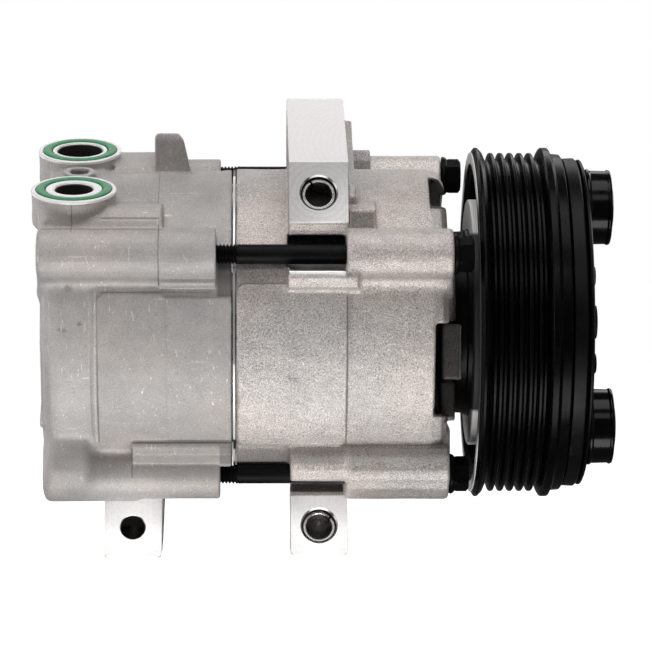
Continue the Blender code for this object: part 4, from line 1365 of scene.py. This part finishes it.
# ring in the joint between the housings
joint_ring = [(-0.35, 52.6), (-0.35, 56.1), (0.5, 56.2), (0.5, 52.6)]
place(
    spin("joint_gasket", joint_ring, 180, 0.12), "housing", gasket_mat, "steel", "housing_gasket"
)

for k, centre in enumerate(BOLTS, 1):
    shank, head = clamp_bolt(f"clamp_bolt_{k}", centre)
    place(shank, "housing", matt, "black_steel", f"through_bolt_{k}")
    place(head, "housing", semi, "black_steel")


def build_port(label, port, bore):
    """Seal, machined face and bore wall of a port, each with +X as the way out."""
    seal = spin(f"port_washer_{label}", [
        (-1.7, 10.55), (-1.7, 13.25), (0.1, 13.3), (0.35, 12.9), (0.42, 12.0), (0.35, 11.0),
        (0.1, 10.5),
    ], 128, 0.25)
    place(align(seal, port, PORT_OUT), "housing", green, "green_seal", f"port_seal_{label}")
    face = spin(f"port_face_{label}", [
        (-9.0, bore + 0.35), (-0.7, bore + 0.3), (0.0, bore + 0.75), (0.0, 10.0),
        (-2.0, 10.0), (-2.0, 13.75), (0.0, 13.75), (0.0, 14.9), (-0.3, 15.2), (-1.1, 15.2),
        (-1.5, 14.4), (-9.0, 14.0),
    ], 144, 0.18)
    place(align(face, port, PORT_OUT), "housing", port_mat, "cast_rear")
    inner, outer = bore - 0.05, bore + 0.28
    wall = spin(f"port_bore_{label}", [
        (-22.0, inner), (-0.75, inner), (-0.35, outer), (-22.0, outer),
    ], 120, 0.05)
    place(align(wall, port, PORT_OUT), "housing", bore_wall_shade, "cast_rear")


for port_row in PORTS:
    build_port(*port_row)


def build_stud_hole():
    """Threaded hole between the ports."""
    rim_profile = [(-0.9, 3.9), (-0.9, 5.6), (-1.4, 6.1), (-6.0, 6.5), (-6.0, 3.6)]
    for k in range(9):
        root = -5.2 + 0.5 * k
        rim_profile += [(root - 0.25, 3.75), (root, 3.3)]
    rim_profile.append((-1.2, 3.7))
    wall = spin("stud_hole_wall", [
        (-6.4, 0.0), (-6.4, 3.9), (-1.5, 3.9), (-1.5, 3.82), (-6.1, 3.6), (-6.1, 0.0),
    ], 72, 0.0, closed=False)
    align(wall, STUD_HOLE, PORT_OUT)
    rim = spin("stud_hole_rim", rim_profile, 96, 0.05)
    align(rim, STUD_HOLE, PORT_OUT)
    place(rim, "housing", rim_mat, "cast_rear")
    place(wall, "housing", bore_wall_shade, "cast_rear")


build_stud_hole()


def build_ear_bore(label, face, bore, deep, chamfer, slot):
    """Blind bore in an ear, with the chamfer at its mouth."""
    wall = spin(f"ear_bore_{label}", [
        (-deep, 0), (-deep, bore), (-chamfer, bore), (0.0, bore + chamfer),
        (-0.2, bore + chamfer + 0.2), (-0.6, bore + 1.2), (-0.9, bore + 0.6),
        (-deep - 0.4, bore + 0.45), (-deep - 0.4, 0),
    ], 144, 0.0, closed=False)
    place(align(wall, face, EAR_OUT), "housing", bore_shade_mat, slot)
    lip = spin(f"ear_lip_{label}", [
        (-chamfer - 0.35, bore - 0.02), (-chamfer, bore - 0.02), (0.0, bore + chamfer - 0.02),
        (-0.05, bore + chamfer + 0.1), (-chamfer - 0.3, bore + 0.1),
    ], 144, 0.0)
    place(align(lip, face, EAR_OUT), "housing", chamfer_mat, slot)


# label, centre, radius, depth, chamfer, slot
for bore_row in (
    ("top", EAR_TOP, 6.3, 11.8, 0.55, "cast_front"),
    ("low_front", EAR_LOW_F, 6.3, 9.6, 0.55, "cast_front"),
    ("low_rear", EAR_LOW_R, 4.5, 13.6, 0.25, "cast_rear"),
):
    build_ear_bore(*bore_row)

# label, origin, out, up, x span, span along up, low and high corner radii, hole, material, slot
for label, *shape, material, slot in (
    ("top_front", EAR_TOP, EAR_OUT, EAR_UP, (19.55, 40.65), (-11.35, 11.72), 0.25, 0.15, 6.85,
     ear_front_shaded_mat, "cast_front"),
    ("top_upper", TOP_EDGE, TOP_OUT, TOP_ALONG, (19.55, 40.65), (0.05, 74.6), 0.15, 0.8, None,
     ear_top_mat, "cast_front"),
    ("low_front", EAR_LOW_F, EAR_OUT, EAR_UP, (20.6, 41.4), (-11.4, 11.3), 2.0, 0.15, 6.85,
     ear_low_mat, "cast_front"),
    ("low_rear", EAR_LOW_R, EAR_OUT, EAR_UP, (-47.4, -26.4), (-11.6, 12.0), 2.0, 0.15, 4.75,
     ear_low_mat, "cast_rear"),
):
    place(face_plate(f"milled_{label}", *shape), "housing", material, slot)

# label, node, bore centre, length, angle of the slit
for label, node, face, length, lean in (
    ("top", "top_ear_dowel", EAR_TOP, 10.4, 121.0),
    ("low", "lower_ear_dowel", EAR_LOW_F, 7.6, 40.0),
):
    dowel = split_ring(f"split_dowel_{label}", face, length, lean)
    place(dowel, "housing", dowel_mat, "steel", node)

# clutch coil
coil_case = spin("coil_case", [
    (79.9, 30.5), (79.9, 33.4), (84.0, 33.6), (84.6, 34.2), (90.8, 34.2), (91.2, 36.0),
    (91.2, 53.4), (92.6, 54.6), (108.6, 54.6), (108.6, 51.0), (94.5, 51.0), (94.5, 33.4),
    (108.6, 33.4), (108.6, 29.6), (89.9, 29.6), (89.9, 30.5),
], 128, 0.35)
place(coil_case, "housing", semi, "black_steel", "coil_housing")
coil_plate = [(86.0, 34.4), (86.0, 45.0), (86.6, 45.3), (91.1, 45.3), (91.1, 34.4)]
place(spin("coil_back_plate", coil_plate, 160, 0.1), "housing", plate_mat, "steel")

# ---------------------------------------------------------------------------------------
# Pulley, armature and hub
# ---------------------------------------------------------------------------------------

GROOVES, GROOVE_PITCH, FIRST_ROOT = 6, 3.556, 92.5


def pulley_profile():
    profile = [
        (87.0, 58.6), (87.0, 62.4, 0.5), (88.3, 64.4, 0.4), (89.2, 64.4, 0.5),
        (90.7, 62.8, 0.5), (91.0, 62.0, 0.3),
    ]
    for k in range(GROOVES):
        root = FIRST_ROOT + GROOVE_PITCH * k
        profile += [(root - 0.5, 59.7, 0.35), (root + 0.5, 59.7, 0.35)]
        if k < GROOVES - 1:
            crest = root + GROOVE_PITCH / 2
            profile += [(crest - 0.55, 62.5, 0.4), (crest + 0.55, 62.5, 0.4)]
    return profile + [
        (111.6, 62.3, 0.3), (111.9, 63.2, 0.3), (112.6, 64.4, 0.7), (115.0, 64.4, 0.7),
        (115.9, 62.2, 0.5), (119.5, 61.9, 0.5), (119.5, 54.0), (118.9, 53.4), (118.9, 44.0),
        (119.5, 43.4), (119.5, 24.6, 0.5), (110.6, 24.6), (110.6, 26.3), (89.6, 26.3),
        (89.6, 29.1), (112.0, 29.1), (112.0, 57.4), (89.0, 57.4), (88.0, 58.0),
    ]


place(spin("belt_pulley", pulley_profile(), 200, 0.3), "pulley", gloss, "black_gloss", "pulley")
back_ring = [(86.75, 58.7), (86.75, 62.6), (87.1, 62.8), (87.1, 58.5)]
place(spin("pulley_back_ring", back_ring, 200, 0.08), "pulley", back_mat, "steel")

armature = spin("armature_disc", [
    (120.3, 24.0), (120.3, 60.4), (124.6, 60.6), (125.2, 60.0), (125.2, 24.0),
], 200, 0.3)
place(armature, "armature", ring_mat, "steel", "armature_plate")
for k, centre in enumerate(CUPS, 1):
    stud = spin(f"armature_stud_{k}", [
        (120.5, 0), (120.5, 4.0), (135.7, 4.0), (135.7, 8.9), (136.9, 8.8, 0.7),
        (137.5, 7.4, 0.6), (137.6, 4.0), (137.4, 3.4), (137.4, 0),
    ], 80, 0.3, centre, closed=False)
    place(stud, "armature", cup_mat, "black_steel", f"armature_pin_{k}")

hub = spin("hub_plate", [
    (112.5, 8.3), (112.5, 12.5), (114.0, 13.5), (125.9, 13.5), (125.9, 22.0), (125.9, 58.6),
    (126.2, 60.0, 0.5), (127.0, 60.1, 0.4), (127.5, 59.0), (127.45, 27.0), (127.9, 25.6),
    (128.3, 23.0), (128.3, 16.0), (129.4, 14.0), (129.4, 3.7), (127.4, 3.7), (127.4, 8.3),
], 160, 0.35)
drill(hub, CUPS, 4.7, 120.0, 134.0)
place(hub, "shaft", semi, "black_steel", "clutch_hub")

centre_bolt = spin("centre_bolt", [
    (109.5, 0), (109.5, 2.4), (110.2, 3.0), (129.7, 3.0), (129.7, 7.7), (130.4, 7.9),
    (131.0, 7.3), (131.0, 6.9), (133.3, 6.9), (133.9, 6.0), (133.9, 4.2), (133.2, 3.8),
    (133.2, 0),
], 96, 0.2, closed=False, warp=hexagon(6.2, 130.95))
place(centre_bolt, "shaft", semi, "black_steel", "hub_bolt")

for k, (cup_centre, rivet_centre) in enumerate(zip(CUPS, RIVETS), 1):
    cup = spin(f"cup_{k}", [
        (127.7, 5.2), (127.7, 14.0, 0.5), (128.5, 14.0, 0.5), (129.1, 13.45, 0.5),
        (134.9, 13.3, 0.5), (135.6, 13.75, 0.5), (136.5, 13.4, 0.5), (136.7, 12.6, 0.4),
        (136.2, 11.8), (136.0, 10.2), (135.2, 9.9), (135.2, 5.2),
    ], 112, 0.3, cup_centre)
    place(cup, "shaft", cup_mat, "black_gloss", f"damper_cup_{k}")
    rivet = spin(f"rivet_{k}", [
        (125.0, 0), (125.0, 2.5), (127.85, 2.5), (127.85, 4.6), (128.6, 4.7, 0.5),
        (131.4, 4.5, 1.2), (132.7, 3.4, 1.0), (133.0, 0),
    ], 64, 0.3, rivet_centre, closed=False)
    place(rivet, "shaft", semi, "black_steel", f"hub_rivet_{k}")

# inner pieces keep their CAD shape; the first key found in a node's name gives its finish
LOOKS = {
    "piston_ring": ptfe, "piston": blank, "cylinder_block": blank, "valve_plate": bright,
    "shoe": bright, "swash_plate": steel, "drive_shaft": steel, "shaft_bearing": steel,
    "bearing": bright, "shaft_seal": black_rubber, "coil_winding": resin,
    "coil_connector": resin,
}
for node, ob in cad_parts.items():
    look = next((material for key, material in LOOKS.items() if key in node), None)
    if look:
        for material_slot in ob.material_slots:
            material_slot.material = look

# ---------------------------------------------------------------------------------------
# Stage, in metres
# ---------------------------------------------------------------------------------------


def floor_material():
    """Glowing pale floor that the camera sees through from below."""
    material = bpy.data.materials.new("pale_floor")
    material.use_nodes = True
    tree = material.node_tree
    surface = tree.nodes["Principled BSDF"]
    surface.inputs["Base Color"].default_value = (0.35, 0.35, 0.35, 1)
    surface.inputs["Roughness"].default_value = 0.95
    surface.inputs["Specular IOR Level"].default_value = 0.0
    surface.inputs["Emission Color"].default_value = (1, 1, 1, 1)
    surface.inputs["Emission Strength"].default_value = 1.0
    side = tree.nodes.new("ShaderNodeNewGeometry")
    clear = tree.nodes.new("ShaderNodeBsdfTransparent")
    pick = tree.nodes.new("ShaderNodeMixShader")
    tree.links.new(side.outputs["Backfacing"], pick.inputs[0])
    tree.links.new(surface.outputs[0], pick.inputs[1])
    tree.links.new(clear.outputs[0], pick.inputs[2])
    tree.links.new(pick.outputs[0], tree.nodes["Material Output"].inputs[0])
    return material


def build_floor():
    half, height = 6, -0.092
    mesh = bpy.data.meshes.new("floor")
    corners = [(-half, -half, 0), (half, -half, 0), (half, half, 0), (-half, half, 0)]
    mesh.from_pydata(corners, [], [(0, 1, 2, 3)])
    floor = link_object("floor", mesh)
    floor.location = (0, 0, height)
    mesh.materials.append(floor_material())
    floor.visible_shadow = False
    floor.visible_diffuse = False
    floor.visible_glossy = False


def build_world():
    """White to the camera, and dim as a light."""
    world = bpy.data.worlds.new("studio")
    bpy.context.scene.world = world
    world.use_nodes = True
    tree = world.node_tree
    tree.nodes.clear()
    output = tree.nodes.new("ShaderNodeOutputWorld")
    path = tree.nodes.new("ShaderNodeLightPath")
    mixer = tree.nodes.new("ShaderNodeMixShader")
    tree.links.new(path.outputs["Is Camera Ray"], mixer.inputs[0])
    for entry, strength in ((2, 1.0), (1, 0.06)):  # seen by the camera, then light on the piece
        background = tree.nodes.new("ShaderNodeBackground")
        background.inputs[0].default_value = (1, 1, 1, 1)
        background.inputs[1].default_value = strength
        tree.links.new(background.outputs[0], mixer.inputs[entry])
    tree.links.new(mixer.outputs[0], output.inputs[0])


def aim(ob, location, direction):
    """Put a light or camera at a location, looking along a direction."""
    ob.location = location
    ob.rotation_mode = "QUATERNION"
    ob.rotation_quaternion = direction.to_track_quat("-Z", "Y")


def softbox(name, azimuth, elevation, distance, size, radiance):
    """Area light of even radiance; azimuth turns from the near side towards +X."""
    turn, rise = math.radians(azimuth), math.radians(elevation)
    away = (math.sin(turn) * math.cos(rise), -math.cos(turn) * math.cos(rise), math.sin(rise))
    location = Vector(away) * distance
    light = bpy.data.lights.new(name, "AREA")
    light.shape = "RECTANGLE"
    light.size, light.size_y = size
    light.energy = radiance * math.pi * size[0] * size[1]
    ob = link_object(name, light)
    aim(ob, location, -location)
    ob.visible_camera = False


def snoot(name, face):
    """Narrow spot that lights one milled face from the near side, slightly below."""
    elevation, distance, radius = math.radians(-14), 1.2, 19.0 * MM
    target = Vector(face - EAR_UP * 1.0) * MM + SHIFT
    away = Vector((0.0, -math.cos(elevation), math.sin(elevation))) * distance
    location = target + away
    light = bpy.data.lights.new(name, "SPOT")
    light.energy = 46.0
    light.spot_size = 2.0 * math.atan(radius / distance)
    light.spot_blend = 0.25
    light.shadow_soft_size = 0.012
    aim(link_object(name, light), location, target - location)


# softboxes: name, azimuth, elevation, distance, (width, height), radiance
NEAR_LIGHTS = [
    ("above", 0, 72, 1.1, (1.6, 0.7), 2.35),
    ("above_front", 0, 32, 1.3, (1.5, 0.34), 1.6),
    ("below_front", 0, -54, 1.1, (1.6, 0.5), 4.6),
    ("left", -74, 6, 1.1, (0.35, 1.0), 3.0),
    ("right", 72, 8, 1.2, (0.16, 0.9), 1.6),
]
FAR_LIGHTS = [
    ("behind", 180, 38, 1.4, (1.8, 0.5), 1.5),
    ("behind_left", -128, 5, 1.3, (0.5, 1.0), 2.2),
    ("behind_right", 135, 20, 1.4, (0.6, 0.8), 1.4),
]


def build_camera():
    camera = bpy.data.cameras.new("camera")
    camera.lens = 185.3
    camera.sensor_width = 36.0
    camera.clip_start, camera.clip_end = 0.05, 30.0
    ob = link_object("camera", camera)
    aim(ob, (0.0052 + SHIFT.x, -1.240, 0.0), Vector((0.0231, 1.0, -0.0012)))
    bpy.context.scene.camera = ob


build_floor()
build_world()
for light_row in NEAR_LIGHTS:
    softbox(*light_row)
snoot("low_front_face", EAR_LOW_F)
snoot("low_rear_face", EAR_LOW_R)
for light_row in FAR_LIGHTS:
    softbox(*light_row)
build_camera()

view = bpy.context.scene.view_settings
view.view_transform = "Standard"
view.look = "None"
view.exposure = 0.0

bpy.context.view_layer.update()
